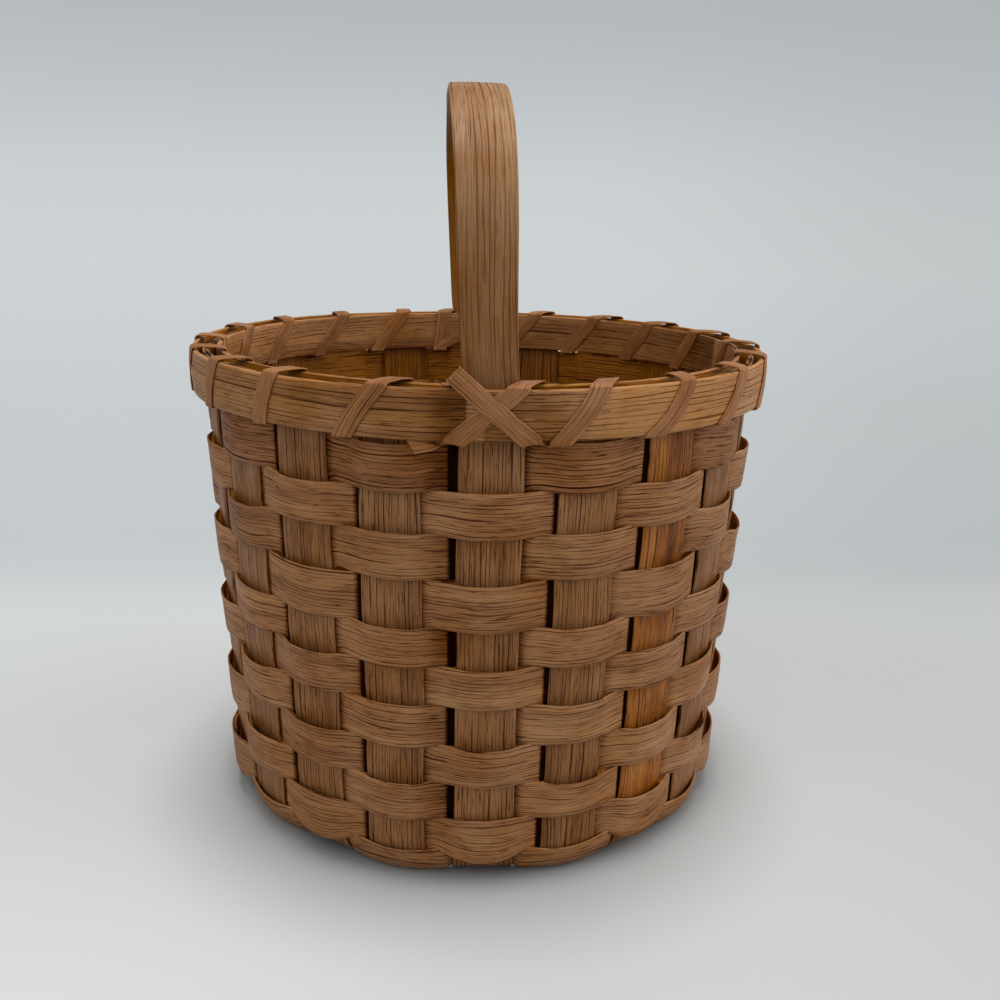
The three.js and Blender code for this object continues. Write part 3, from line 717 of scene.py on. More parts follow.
@dataclass
class Weaving:
    """Twelve rows of weavers, over one upright and under the next, made by one Geometry Nodes tree.

    Attributes:
        body: The basket's sizes.
        starts: Start of each row from the rim down, the row between the hoops first.
        legs_end: Lowest row that holds the handle's legs.
        thickness: Thickness of a weaver.
        foot_width: Width of the row in the fold.
        foot_drop: From the top of the fold down to that row's middle, along an upright.
        shifts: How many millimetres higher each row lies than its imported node, as the photograph shows.
        steps: Sections from one upright to the next.
        sides: Sides of the tube that each strip is made from.
        rounded: Shares of its radius past which a point lies on the strip's edge, and on its face.
        inputs: Identifiers of the tree's inputs by name.
    """

    body: Body
    starts: tuple[int, ...] = (11, 6, 13, 14, 7, 12, 5, 8, 11, 16, 15, 4)
    legs_end: int = 9
    thickness: float = 0.9 * MM
    foot_width: float = 10.4 * MM
    foot_drop: float = 4.9 * MM
    shifts: tuple[float, ...] = (0.0, 1.6, 1.4, 1.8, 0.6, 1.0, 0.8, 0.5, 0.9, 0.8, 0.0, 0.0)
    steps: int = 40
    sides: int = 16
    rounded: tuple[float, float] = (0.86, 0.556)
    inputs: dict[str, str] = field(default_factory=dict)

    def rows(self) -> list[Row]:
        """Reads the rows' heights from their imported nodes.

        Returns:
            The rows from the rim down.
        """
        body = self.body
        slope = math.cos(math.radians(body.lean))
        last = len(self.starts) - 1
        tight = {"play": 0.0, "droop": 0.0, "reach": 0.0}
        special = {
            0: {"seats": (1.65 * MM, 1.75 * MM, -0.6 * MM, -1.15 * MM), "first": 0.68, **tight},
            # The top row under the rim is painted darker, a painted shadow of the rim
            1: {"head": 0.4 * MM, "stain": 0.5},
            last - 2: {"reach": 3.2 * MM},
            last - 1: {"droop": 4.6 * MM, "scallop": 2.4 * MM, "head": 1.2 * MM},
            last: {"seats": (2.8 * MM, 2.1 * MM, -0.9 * MM, -1.6 * MM), "under": 5 * MM, **tight,
                   "rise": -self.foot_drop, "width": self.foot_width},
        }
        rows = []
        for number, (start, shift) in enumerate(zip(self.starts, self.shifts)):
            node = f"weaver_row_{number:02d}" if number else "weaver_row_rim"
            low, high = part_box(node)
            rise = ((low.z + high.z) / 2 - body.fold_top[1]) / slope + shift * MM
            room = body.leg_thickness + CLEARANCE if 0 < number <= self.legs_end else 0.0
            row = Row(node, float(start), rise, (high.z - low.z) / slope, leg_room=room)
            rows.append(replace(row, **special.get(number, {})))
        return rows

    def values(self, row: Row, number: int) -> dict[str, float]:
        """Values of the tree's number inputs by name.

        Args:
            row: The row.
            number: Its number from the rim down.

        Returns:
            The row's own numbers and the sizes that all rows share.
        """
        body = self.body
        radius = body.fold_top[0] + row.rise * math.sin(math.radians(body.lean))
        values = {name: value for name, value in vars(row).items() if isinstance(value, float)}
        values.update(zip(("crest_seat", "edge_seat", "tuck_seat", "inner_seat"), row.seats))
        return values | {
            "seed": float(number + 1),
            "thickness": self.thickness,
            "lap": self.thickness + CLEARANCE,
            "edge": math.degrees(math.asin(body.stake_width / 2 / radius)) / PITCH,
            "floor_radius": body.floor_radius,
            "fold": body.fold_radius,
            "fold_middle": body.fold_radius - body.stake_thickness / 2,
            "lean": math.radians(body.lean),
        }

    def tree(self, names: list[str]) -> bpy.types.NodeTree:
        """Builds the tree that turns a plain tube into a woven strip.

        Args:
            names: Names of its number inputs.

        Returns:
            The tree.
        """
        tree = bpy.data.node_groups.new("woven_strip", "GeometryNodeTree")
        tree.interface.new_socket("Mesh", in_out="OUTPUT", socket_type="NodeSocketGeometry")
        for name in [*names, "Material"]:
            kind = "NodeSocketMaterial" if name == "Material" else "NodeSocketFloat"
            socket = tree.interface.new_socket(name, in_out="INPUT", socket_type=kind)
            self.inputs[name] = socket.identifier
        half_side = math.pi / self.sides
        graph = Graph(tree, last=UPRIGHTS + 1.0, ends=float(UPRIGHTS), cos=math.cos(half_side),
                      sin=math.sin(half_side), pitch=math.radians(PITCH), top_radius=self.body.top_radius,
                      rounded_side=self.rounded[0], rounded_face=self.rounded[1])
        given = tree.nodes.new("NodeGroupInput").outputs
        graph.names.update((name, given[name]) for name in names)
        segments = self.steps * (UPRIGHTS + 1)
        tube = {"Vertices": self.sides, "Side Segments": segments, "Radius": 1.0, "Depth": 1.0}
        mesh = graph.add("GeometryNodeMeshCylinder", tube)
        graph.split(graph.add("GeometryNodeInputPosition"), "x", "y", "z")
        self.name_passes(graph)
        self.name_shape(graph)
        height = "maximum(fold - arm * sine(tilt) + maximum(here, 0) * cosine(lean), 0.05 * mm)"
        # The tone's first part is a painted shade: darker where the strip turns in, beside the legs and
        # under the rim
        painted_shade = "-(plunge * (0.4 + 1.8 * leaving) + beside_leg + stain) * (1 - inward)"
        vectors = {
            "Position": ("radius * sine(angle)", "-radius * cosine(angle)", height),
            "grain": ("along", "breadth", "seed"),
            "tone": (painted_shade, "inward", "greater_than(absolute(side), 0.98)"),
        }
        ready = {name: graph.add("ShaderNodeCombineXYZ", parts) for name, parts in vectors.items()}
        for name in ("grain", "tone"):
            stored = {"Geometry": mesh, "Name": name, "Value": ready[name]}
            mesh = graph.add("GeometryNodeStoreNamedAttribute", stored, data_type="FLOAT_VECTOR")
        mesh = graph.add("GeometryNodeSetPosition", {"Geometry": mesh, "Position": ready["Position"]})
        mesh = graph.add("GeometryNodeRealizeInstances", (mesh,))
        mesh = graph.add("GeometryNodeSetMaterial", {"Geometry": mesh, "Material": given["Material"]})
        graph.add("NodeGroupOutput", (mesh,))
        return tree

    @staticmethod
    def name_passes(graph: Graph) -> None:
        """Names where a point lies on its strip and in its pass, and the chances of that pass."""
        # Round to flat: far enough out, a point of the tube's circle lies on the strip's edge or its face,
        # and only small corners stay. The place along the strip is counted in uprights: it passes outside
        # one and inside the next.
        graph.work("""
            side = minimum(maximum((x * cos - y * sin) / rounded_side, -1), 1)
            face = minimum(maximum((x * sin + y * cos) / rounded_face, -1), 1)
            place = first + (z + 0.5) * (last - first)
            swing = -cosine(place * pi)
            away = 1 - pingpong(place, 1)
            over = crest_seat - (crest_seat - edge_seat) * (away / edge) ** 1.8
            inside = inner_seat + (tuck_seat - inner_seat) * ((1 - away) / edge) ** 2
            upright = start + place
            to_leg = wrap(-upright, 10, 0)
            from_leg = absolute(wrap(upright + 5, 10, 0) - 5)
            along = (upright + seed * 3.1) * (pitch * top_radius)
        """)
        # Chances for each pass: its seat, its twist, how far its upper edge lifts and how high it lies
        chances = {name: f"floor(place + 0.5) + seed * 40 + {number} * 0.37"
                   for number, name in enumerate(("seating", "twist", "lift", "level"))}
        for name, text in {**chances, "stretch": "floor(place) + seed * 60"}.items():
            graph.names[name] = graph.add("ShaderNodeTexWhiteNoise", {"W": text}, noise_dimensions="1D")
        waves = {"W": "along * 45 + seed", "Detail": 1.0}
        graph.names["ripple"] = graph.add("ShaderNodeTexNoise", waves, noise_dimensions="1D")

    @staticmethod
    def name_shape(graph: Graph) -> None:
        """Names how far a point stands out, how high it lies and where that puts it round the wall."""
        # The weaver bent each strip in sharply on its right, short of the next upright, and there a dark
        # slit is left. On its left it comes out gently along the upright's edge. Where the two ends lap,
        # the first end rises over the last one outside, and hides it inside. Inside the two middle uprights
        # there is room for the handle's legs. Where a pass lies outside, it is loose: it crowns, shifts
        # and twists, and lifts at its upper edge.
        graph.work("""
            leaving = play * less_than(fract((place - 1) / 2), 0.5)
            slit = leaving * (0.004 + stretch * 0.03 + less_than(to_leg, 1) * 0.022)
            turn_in = 1 - edge - 0.095 + leaving * 0.04 - slit
            turned = 1 - edge + 0.012 - leaving * 0.02 - slit
            plunge = smooth(away, turn_in, turned, 0, 1)
            seat = over + plunge * (inside - over)
            lapping = (1 + cosine(minimum(absolute(place - 1), 1) * pi)) / 2
            lapped = (1 + cosine(minimum(absolute(place - ends), 1) * pi)) / 2
            at_leg = smooth(from_leg, 0.62, 0.3, 0, 1)
            loose = smooth(swing, 0.15, 0.8, 0, 1) * play
            lean_in = (seating - 0.5) * (0.7 * mm) + (twist - 0.5) * side * (0.7 * mm)
            crown = (1 - side * side) * (0.35 * mm)
            swell = loose * (lean_in + crown + maximum(side, 0) ** 2 * (0.2 * mm + lift * (0.8 * mm)))
            breadth = side * width * (0.5 - ripple * 0.02)
            rising = smooth(away, 0.05, 0.62, 0, 1)
            hang = droop * (0.4 * (1 - plunge) + 0.6 * maximum(swing, 0) * (0.7 + twist * 0.6))
            closing = reach * plunge - scallop * rising * (1 - plunge)
            low = hang + closing + under * minimum(1, (1 - swing) * 0.9)
            sag = dip * loose * lift ** 2 * maximum(swing, 0)
            high = head + 0.4 * reach * plunge + 0.4 * under * rising - sag
            up = breadth + (level - 0.5) * mm * loose - (1 - side) / 2 * low + (1 + side) / 2 * high
            layered = seat + (lapping - lapped) * lap - at_leg * leg_room * plunge
            stand = layered + swell + face * thickness / 2
        """)
        # Below the top of the fold the strip bends round it, and above it follows the straight wall. Where
        # the strip turns in beside the next upright, and beside the handle's legs, its colour is painted
        # darker: a painted shade.
        graph.work("""
            here = rise + up
            tilt = lean + maximum(-here, 0) / (fold + 1.2 * mm)
            arm = fold_middle + stand
            radius = floor_radius + arm * cosine(tilt) + maximum(here, 0) * sine(lean)
            angle = upright * pitch
            inward = less_than(face, 0)
            beside_leg = leaving * smooth(to_leg, 0.85, 0.4, 0, 1) * greater_than(to_leg, 0.1) * 0.7
        """)

    def build(self, finish: bpy.types.Material) -> None:
        """Makes and dresses the rows.

        Args:
            finish: The weavers' material.
        """
        rows = self.rows()
        tree = self.tree(list(self.values(rows[0], 0)))
        for number, row in enumerate(rows):
            host = put("row_host", bpy.data.meshes.new("row_host"))
            modifier = host.modifiers.new("woven_strip", "NODES")
            modifier.node_group = tree
            modifier[self.inputs["Material"]] = finish
            for name, value in self.values(row, number).items():
                modifier[self.inputs[name]] = value
            graph = bpy.context.evaluated_depsgraph_get()
            mesh = bpy.data.meshes.new_from_object(host.evaluated_get(graph))
            bpy.data.objects.remove(host)
            dress(mesh, row.node.replace("weaver_row", "split_weaver"), finish, Slot.WEAVER, row.node)


@dataclass(frozen=True)
class Hoops:
    """The two bent hoops of the rim, each closed by a scarf of its thinned ends.

    Attributes:
        body: The basket's sizes.
        scarf_angle: Overlap of the two ends.
        scarf_tip: Thickness of a thinned end.
        scarf_ramp: Degrees over which the hoop gets back to its full thickness.
        outer_end: Visible end of the outer hoop.
        inner_end: Outer end of the inner hoop.
        step: Degrees between sections.
    """

    body: Body
    scarf_angle: float = 21.5
    scarf_tip: float = 0.8 * MM
    scarf_ramp: float = 4.5
    outer_end: float = -4.5
    inner_end: float = 96.0
    step: float = 1.0

    def course(self, inner: float, outer_end: float, strip: int, facing: float) -> Course:
        """Course of an open hoop whose thinned ends overlap.

        Args:
            inner: Radius of its inner face.
            outer_end: Angle of the end that lies outside.
            strip: The strip's number.
            facing: 1 where its domed face looks outwards, -1 inwards.

        Returns:
            The hoop's course.
        """
        body = self.body
        thick = body.hoop_thickness
        lap = thick - self.scarf_tip - CLEARANCE
        tail = outer_end - self.scarf_angle + 360
        stops = (
            (tail - 360, 0, self.scarf_tip),
            (outer_end, 0, lap),
            (outer_end + self.scarf_ramp, 0, thick),
            (tail - self.scarf_ramp, 0, thick),
            (tail, thick - lap, thick),
            (outer_end + 360, lap + CLEARANCE, thick),
        )
        angles, low, high = (np.array(part, dtype=float) for part in zip(*stops))
        count = [max(1, round((b - a) / self.step)) for a, b in zip(angles, angles[1:])]
        spans = [np.linspace(a, b, n + 1)[:-1] for a, b, n in zip(angles, angles[1:], count)]
        turns = np.concatenate((*spans, angles[-1:]))
        start, end = np.interp(turns, angles, low), np.interp(turns, angles, high)
        centre = polar(turns, inner + (start + end) / 2, (body.rim_top + body.rim_bottom) / 2)
        up = np.broadcast_to((0.0, 0.0, 1.0), centre.shape)
        width = body.rim_height - 0.25 * MM * (1 + sway(turns * 2 * MM, 130 * MM, strip))
        centre[:, 2] += 0.12 * MM * sway(turns * 2 * MM, 210 * MM, strip + 1)
        # How fresh each stretch is, where that begins and ends and how gently. The cut is paler. Under the
        # lashing on both sides of it the hoop is darker, from stain and from a painted shade of the
        # lashing. From 14 to 80 degrees, on the right, it is painted paler, a painted highlight, and from
        # 290 degrees on, to the left, a little darker, a painted shade.
        stretches = (
            (0.8, outer_end, 0.75, outer_end + 2.7, 0.5625),
            (-0.7, outer_end + 2.25, 1.125, outer_end + 20.7, 9),
            (-0.8, outer_end + 352, 6, math.inf, 1),
            (0.5, 14, 8, 80, 20),
            (-0.15, 290, 20, math.inf, 1),
        )
        fresh = sum(share * ease((turns - start) / gentle) * ease((end - turns) / leave)
                    for share, start, gentle, end, leave in stretches)
        return Course(centre, up, facing * polar(turns, 1, 0), width, end - start, strip, edge=0.7 * MM,
                      dome=body.hoop_dome, points=9, fresh=fresh)

    def build(self, finish: bpy.types.Material) -> None:
        """Makes and dresses both hoops.

        Args:
            finish: The rim's material.
        """
        outer = self.course(self.body.rim_radius - self.body.hoop_thickness, self.outer_end, 81, 1)
        dress(outer.mesh(), "outer_hoop", finish, Slot.RIM, "rim_outer_hoop")
        inner_face = self.body.inner_hoop_outer - self.body.hoop_thickness
        inner = self.course(inner_face, self.inner_end, 82, -1)
        dress(inner.mesh(), "inner_hoop", finish, Slot.RIM, "rim_inner_hoop")


@dataclass(frozen=True)
class Handle:
    """The bent handle: thin legs inside the middle uprights, and a broader, thicker grip.

    Attributes:
        body: The basket's sizes.
        rise: Rim top to the middle of the strap at the crest.
        straight: Straight leg above the rim.
        squareness: 2 would make the arch half an ellipse, and more squares its shoulders.
        grip_width: Width at the crest.
        grip_thickness: Thickness of the grip.
        grip_start: Height above the rim where the strap reaches its full thickness.
        leg_width: Width of a leg between the hoops.
        shift: How far the crest stands to the left.
        shift_power: Below 1, most of that comes low down.
        strip: The strip's number.
        worn_from: Height above the rim from which the strap is paler.
        stained_to: Height above the rim up to which it is darker.
    """

    body: Body
    rise: float = 101 * MM
    straight: float = 40 * MM
    squareness: float = 2.77
    grip_width: float = 21.3 * MM
    grip_thickness: float = 2.2 * MM
    grip_start: float = 60 * MM
    leg_width: float = 19.4 * MM
    shift: float = 4.2 * MM
    shift_power: float = 0.6
    strip: int = 90
    worn_from: float = 65 * MM
    stained_to: float = 60 * MM

    def course(self) -> Course:
        """Course of the whole strap, from the front leg's end over the crest to the back leg's end.

        Returns:
            The handle's course.
        """
        body = self.body
        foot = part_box("handle")[0].z
        inset = body.stake_thickness + CLEARANCE + body.leg_thickness / 2
        span = float(body.wall(body.rim_top)) - inset
        spring, arch = body.rim_top + self.straight, self.rise - self.straight
        lean, square = math.radians(body.lean), self.squareness
        # Position and facing from the front leg's end to the crest, then mirrored down the back
        leg = np.append(np.arange(foot, body.rim_top, 4 * MM), body.rim_top)
        upper = np.linspace(body.rim_top, spring, 10)[1:-1]
        turns = np.linspace(0, np.pi / 2, 61)
        along, up = np.cos(turns) ** (2 / square), np.sin(turns) ** (2 / square)
        front = np.concatenate((
            columns(inset - body.wall(leg), leg, -math.cos(lean), -math.sin(lean)),
            columns(-span, upper, -1.0, 0.0),
            columns(-span * along, spring + arch * up, -(along ** (square - 1)) / span,
                    up ** (square - 1) / arch),
        ))
        y, z, out_y, out_z = np.concatenate((front, front[-2::-1] * (-1, 1, -1, 1))).T
        above = np.maximum(0, z - body.rim_top)
        share = np.clip(above / self.rise, 0, 1)
        grip = np.clip(above / self.grip_start, 0, 1)
        width = self.leg_width + share * (self.grip_width - self.leg_width)
        thickness = body.leg_thickness + grip * (self.grip_thickness - body.leg_thickness)
        run = travelled(columns(y, z))
        drift = 0.2 * MM * sway(run, 160 * MM, self.strip + 1) * ease(above / (30 * MM))
        centre = columns(drift - self.shift * share**self.shift_power, y, z)
        width = width - 0.2 * MM * (1 + sway(run, 140 * MM, self.strip + 2))
        out = unit(columns(0.0, out_y, out_z))
        across = np.broadcast_to((1.0, 0.0, 0.0), centre.shape)
        # The strap is darker low down, where it comes out of the rim, and a little paler at the grip
        fresh = 0.1 * ease((above - self.worn_from) / (30 * MM)) - 0.4 * ease(1 - above / self.stained_to)
        return Course(centre, across, out, width, thickness, self.strip, edge=0.62 * MM, dome=0.3 * MM,
                      points=8, fresh=fresh)

    def build(self, finish: bpy.types.Material) -> None:
        """Makes and dresses the handle.

        Args:
            finish: The handle's material.
        """
        dress(self.course().mesh(), "bent_handle", finish, Slot.HANDLE, "handle")


@dataclass(frozen=True)
class Lashing:
    """The single strip that binds the rim: a stub, an X at each leg, a wrap in each other space and a tail.

    Attributes:
        body: The basket's sizes.
        width: Width of the strip.
        thickness: Its thickness.
        over: Clearance over the hoops.
        self_gap: Room left where it crosses itself.
        bends: How square its turns are on the hoop and on another strand.
        soft: Length over which its corners are rounded.
        arch: Rise over the hollow between the hoops.
        skew: Degrees past the middle of the space where a wrap starts up the outer hoop.
        gain: Degrees that a wrap gains on its way up.
        gain_over: Degrees that it gains on its way over the rim.
        seen: By the number of its space, the foot, both gains and the bow of each wrap in the photograph.
        lift: How steeply a strand climbs over another one.
        stub: Length of the strip's start, inside the inner hoop.
        cross_foot: Degrees from the handle's middle to the feet of an X.
        cross_head: And to the heads at the top of the rim: of its lower and its upper strand.
        cross_over: Degrees that the lower strand gains on its way over the rim.
        cross_back: Degrees past the foot where the folded strand goes down inside.
        foot_tilt: Degrees that the folds at the feet of an X slope.
        fold_height: Height over the rim where the upper strand is folded back.
        fold_tilt: Degrees that this fold rises.
        tail: Angle from the front, height under the rim and lie of the tail's end.
        cut: Sections at the tail's end that are painted paler, a painted highlight.
        paleness: How much paler those are painted.
        seed: Which chances the wraps take.
        strip: The strip's number.
    """

    body: Body
    width: float = 6.7 * MM
    thickness: float = 0.6 * MM
    over: float = 0.15 * MM
    self_gap: float = 0.4 * MM
    bends: tuple[float, float] = (0.75, 0.87)
    soft: float = 1.1 * MM
    arch: float = 0.9 * MM
    skew: float = 1.5
    gain: float = 6.3
    gain_over: float = 3.0
    seen: dict[int, tuple[float, float, float, float]] = field(default_factory=lambda: {
        0: (11.1, 6.3, 5.0, -0.3),
        1: (28.4, 6.8, 2.5, -0.5),
        2: (46.2, 6.5, 3.0, -0.3),
        16: (300.0, 3.0, 2.0, 0.3),
        17: (317.7, 2.8, 1.4, 0.4),
        18: (335.2, 6.0, 2.8, 0.2),
    })
    lift: float = 2.2
    stub: float = 7 * MM
    cross_foot: float = 6.3
    cross_head: tuple[float, float] = (3.8, 3.6)
    cross_over: float = 4.0
    cross_back: float = 1.2
    foot_tilt: float = 24.0
    fold_height: float = 5.0 * MM
    fold_tilt: float = 55.0
    tail: tuple[float, float, float] = (-13.4, 19.8 * MM, -58.0)
    cut: int = 8
    paleness: float = 0.75
    seed: int = 5
    strip: int = 70

    @property
    def offset(self) -> float:
        """From a hoop's face to the strip's middle."""
        return self.over + self.thickness / 2

    @property
    def layer(self) -> float:
        """From one strand's middle to that of a strand over it."""
        return self.thickness + self.self_gap

    @property
    def inner_face(self) -> float:
        """Radius of the inner hoop's inner face."""
        return self.body.inner_hoop_outer - self.body.hoop_thickness

    def places(self, angle: Numbers, radius: Numbers, height: Numbers, out: Numbers, up: Numbers,
               width: Numbers | None = None, tilt: Numbers = 0.0, lead: Numbers = 0.0) -> np.ndarray:
        """Places along the strip, from numbers or arrays of them.

        Args:
            angle: Degrees from the front.
            radius: Distance from the axis.
            height: Height above the floor.
            out: How much its outer side faces outwards.
            up: How much that faces up.
            width: Width along its section, if it isn't the strip's own.
            tilt: Degrees that the section rises from level.
            lead: How much its outer side faces along the rim.

        Returns:
            A row for each place: angle, radius, height, width, tilt, out, up and lead.
        """
        return columns(angle, radius, height, self.width if width is None else width, tilt, out, up, lead)

    def lean_width(self, turned: Numbers, tilt: Numbers = 0.0) -> np.ndarray:
        """Width of a tilted section through a strip that gains some degrees over the hoop's height."""
        rise = np.arctan2(self.body.rim_height, np.radians(turned) * self.body.rim_radius)
        return self.width / np.sin(rise - np.radians(tilt))

    def outer_strand(self, start: float, end: float, lift: float = 0.0, bow: float = 0.0,
                     tilts: tuple[float, float] = (0.0, 0.0)) -> np.ndarray:
        """Up the outer hoop.

        Args:
            start: Angle at its foot.
            end: Angle at the top of the rim.
            lift: How far its middle is raised over a strand that it crosses.
            bow: Share of its gain that comes late, or early where it is negative.
            tilts: Degrees that its sections rise at the foot and at the head.

        Returns:
            Its places from the foot up.
        """
        body = self.body
        share = np.linspace(0, 1, 9)
        height = body.rim_bottom + share * body.rim_height
        angle = start + (end - start) * ((1 - bow) * share + bow * share**2)
        turned = (end - start) * (1 - bow + 2 * bow * share)
        tilt = tilts[0] * np.maximum(0, 1 - 2 * share) + tilts[1] * np.maximum(0, 2 * share - 1)
        raised = lift * np.minimum(1, self.lift * np.sin(np.pi * share))
        radius = body.rim_radius - body.hollow(height) + self.offset + raised
        return self.places(angle, radius, height, 1, 0, self.lean_width(turned, tilt), tilt)

    def over_rim(self, start: float, end: float) -> np.ndarray:
        """Over the hollow between the hoops, from outside to inside, along a squared arch.

        Args:
            start: Angle at the outer hoop.
            end: Angle at the inner hoop.

        Returns:
            Its places over the rim.
        """
        body = self.body
        middle = (body.rim_radius + self.inner_face) / 2
        half = (body.rim_radius - self.inner_face) / 2 - body.hoop_dome + self.offset
        rise = self.arch + self.offset
        width = self.width * math.hypot(1, math.radians(end - start) * middle / (2 * half))
        turn = np.radians((10, 25, 42, 60, 90, 120, 138, 155, 170))
        up = np.sin(turn) ** (2 / 3)
        across = np.sign(np.cos(turn)) * np.abs(np.cos(turn)) ** (2 / 3)
        angle = start + (end - start) * (1 - across) / 2
        out = across * np.abs(across) / half
        height = body.rim_top + rise * up
        return self.places(angle, middle + half * across, height, out, up**2 / rise, width)

    def inner_strand(self, start: float, end: float, layers: int) -> np.ndarray:
        """Down the inner hoop.

        Args:
            start: Angle at the top of the rim.
            end: Angle at its foot.
            layers: How many strands it lies on there.

        Returns:
            Its places from the top down.
        """
        body = self.body
        share = np.array((0, 0.15, 0.3, 0.5, 0.65, 0.82, 1))
        height = body.rim_top - share * body.rim_height
        eased = np.minimum(1, share / 0.3)
        radius = self.inner_face + body.hollow(height) - self.offset - layers * self.layer * eased
        wider = np.minimum(eased, (1 - share) / 0.35) * (self.lean_width(end - start) - self.width)
        return self.places(start + share * (end - start), radius, height, -1, 0, self.width + wider)

    def under_rim(self, space: float, layers: int, foot: float, tilt: float = 0.0) -> np.ndarray:
        """Out through the space between two uprights, under both hoops.

        Args:
            space: Angle of the space.
            layers: How many strands it lies under there.
            foot: Angle where it turns up the outer hoop.
            tilt: Degrees that it rises there.

        Returns:
            Its places from the inside out.
        """
        body = self.body
        below = self.offset + layers * self.layer
        height = body.rim_bottom - below
        corner, bend = self.bends[layers] * below, self.bends[0]
        face = body.rim_radius - body.hoop_dome
        stops = [
            (space, self.inner_face - corner, body.rim_bottom - corner, -1, 0),
            (space, body.inner_hoop_outer, height, 0, 0),
            (space, float(body.wall(body.rim_bottom)), height, 0, 0),
            (space + 0.8 * (foot - space), body.rim_radius - self.thickness, height, 0, 0),
            (foot, face + bend * self.offset, height + (1 - bend) * below, 1, tilt),
        ]
        if foot == space:
            del stops[3]
        angle, radius, level, out, rises = np.array(stops).T
        return self.places(angle, radius, level, out, -1, tilt=rises)

    def fold_back(self, handle: float, start: float, end: float) -> np.ndarray:
        """The upper strand of an X: past the top of the rim, folded back and down to the inside.

        Args:
            handle: Angle of the handle's leg.
            start: Degrees from it where the strand passes the top of the rim.
            end: Degrees from it at the top of the inner hoop.

        Returns:
            Its places around the fold.
        """
        body = self.body
        slope = math.radians(self.cross_foot + start) / body.rim_height * body.rim_radius
        rise = math.atan2(1, -slope)
        # Share of the fold's height, millimetres back from the hoop's face, out, lead and share of the tilt
        height, back, out, lead, turned = np.array((
            (0.45, 0, 1, 0, 1),
            (0.9, 0, 1, 0, 1),
            (1, 0.3, 0.2, 1, 0),
            (0.93, 0.9, -1, 0.3, -1),
            (0.62, 3.4, -1, 0.5, -0.8),
            (0.3, 8.5, -1, 0.8, -0.4),
        )).T
        angle = -start - np.degrees(slope * self.fold_height * height / body.rim_radius)
        angle += np.where(back > 3, (end - angle) * back / 12, 0)
        radius = body.rim_radius - body.hoop_dome + self.offset - back * MM
        return self.places(handle + angle, radius, body.rim_top + self.fold_height * height, out,
                           lead * math.sin(rise), tilt=turned * self.fold_tilt, lead=lead * math.cos(rise))

    def cross(self, handle: float) -> list[np.ndarray]:
        """An X over a handle leg.

        Args:
            handle: Angle of the leg.

        Returns:
            Its parts, in the order in which the strip is wound.
        """
        foot, tilt = self.cross_foot, self.foot_tilt
        lower, upper = self.cross_head
        beyond = lower + self.cross_over
        inside = -foot - self.cross_back
        return [
            self.under_rim(handle - HALF_SPACE, 0, handle - foot, -tilt),
            self.outer_strand(handle - foot, handle + lower, tilts=(-tilt, 0)),
            self.over_rim(handle + lower, handle + beyond),
            self.inner_strand(handle + beyond, handle + HALF_SPACE, 0),
            self.under_rim(handle + HALF_SPACE, 0, handle + foot, tilt),
            self.outer_strand(handle + foot, handle - upper, self.layer, tilts=(tilt, self.fold_tilt)),
            self.fold_back(handle, upper, inside),
            self.inner_strand(handle + inside, handle + HALF_SPACE, 1),
        ]

    def wound(self) -> np.ndarray:
        """All places of the strip, from the stub to the tail."""
        half = UPRIGHTS // 2
        chance = np.random.default_rng(self.seed)
        stub = self.body.rim_bottom + self.stub * np.array((1, 0.5))
        parts = [self.places(-HALF_SPACE, self.inner_face - self.offset, stub, -1, 0)]
        for handle in (0, half):
            parts += self.cross(handle * PITCH)
            for n in range(half - 1):
                middle = (handle + n) * PITCH + HALF_SPACE
                foot = middle + self.skew + 1.2 * (n == 0) + chance.uniform(-0.6, 0.6)
                gain = self.gain + chance.uniform(-1.6, 0.6)
                beyond = self.gain_over + chance.uniform(-1.2, 1.2)
                wrap = (foot, gain, beyond, chance.uniform(-0.4, 0.4))
                foot, gain, beyond, bow = self.seen.get(handle + n, wrap)
                last = handle == half and n == half - 2
                head = foot + gain
                parts += [
                    self.under_rim(middle, int(n == 0), foot),
                    self.outer_strand(foot, head, bow=bow),
                    self.over_rim(head, head + beyond),
                    self.inner_strand(head + beyond, middle + PITCH, int(last)),
                ]
        return np.concatenate((*parts, *self.tail_end()))

    def tail_end(self) -> tuple[np.ndarray, np.ndarray]:
        """The cut end: out under the inner hoop, then flat against the top row, to the left and down.

        Returns:
            Its places under the hoop and on the wall.
        """
        start = 360 - HALF_SPACE
        end, drop, tilt = self.tail
        share, away, out, up = np.array(((0.12, 2.0, 0.5, -1), (0.45, 4.4, 1, -0.3), (1, 4.9, 1, 0))).T
        height = self.body.rim_top - drop + (1 - share) * 0.6 * MM
        radius = float(self.body.wall(self.body.rim_bottom)) + away * MM
        tilts = tilt * np.minimum(1, share * 1.4)
        free = self.places(start + share * (360 + end - start), radius, height, out, up, tilt=tilts)
        return self.under_rim(start, 1, start)[:-1], free

    def course(self) -> Course:
        """Rounds the strip's corners a little.

        Returns:
            The lashing's course.
        """
        raw = self.wound()
        raw[:, 5:] = unit(raw[:, 5:])
        gaps = np.linalg.norm(np.diff(polar(*raw[:, :3].T), axis=0), axis=1)
        near = np.minimum(0.42, self.soft / gaps)[:, None]
        corner = raw[1:-1]
        arrive = corner + near[:-1] * (raw[:-2] - corner)
        leave = corner + near[1:] * (raw[2:] - corner)
        curve = [(1 - t) ** 2 * arrive + 2 * t * (1 - t) * corner + t**2 * leave for t in (0, 0.5, 1)]
        rows = np.concatenate((raw[:1], np.stack(curve, axis=1).reshape(-1, raw.shape[1]), raw[-1:]))
        angle, radius, height, width, tilt, out, up, lead = rows.T
        along = along_wall(angle)
        facing = unit(polar(angle, out, up) + along * lead[:, None])
        level = unit(along - facing * np.sum(along * facing, axis=-1, keepdims=True))
        turn = np.radians(tilt)[:, None]
        across = level * np.cos(turn) + np.cross(facing, level) * np.sin(turn)
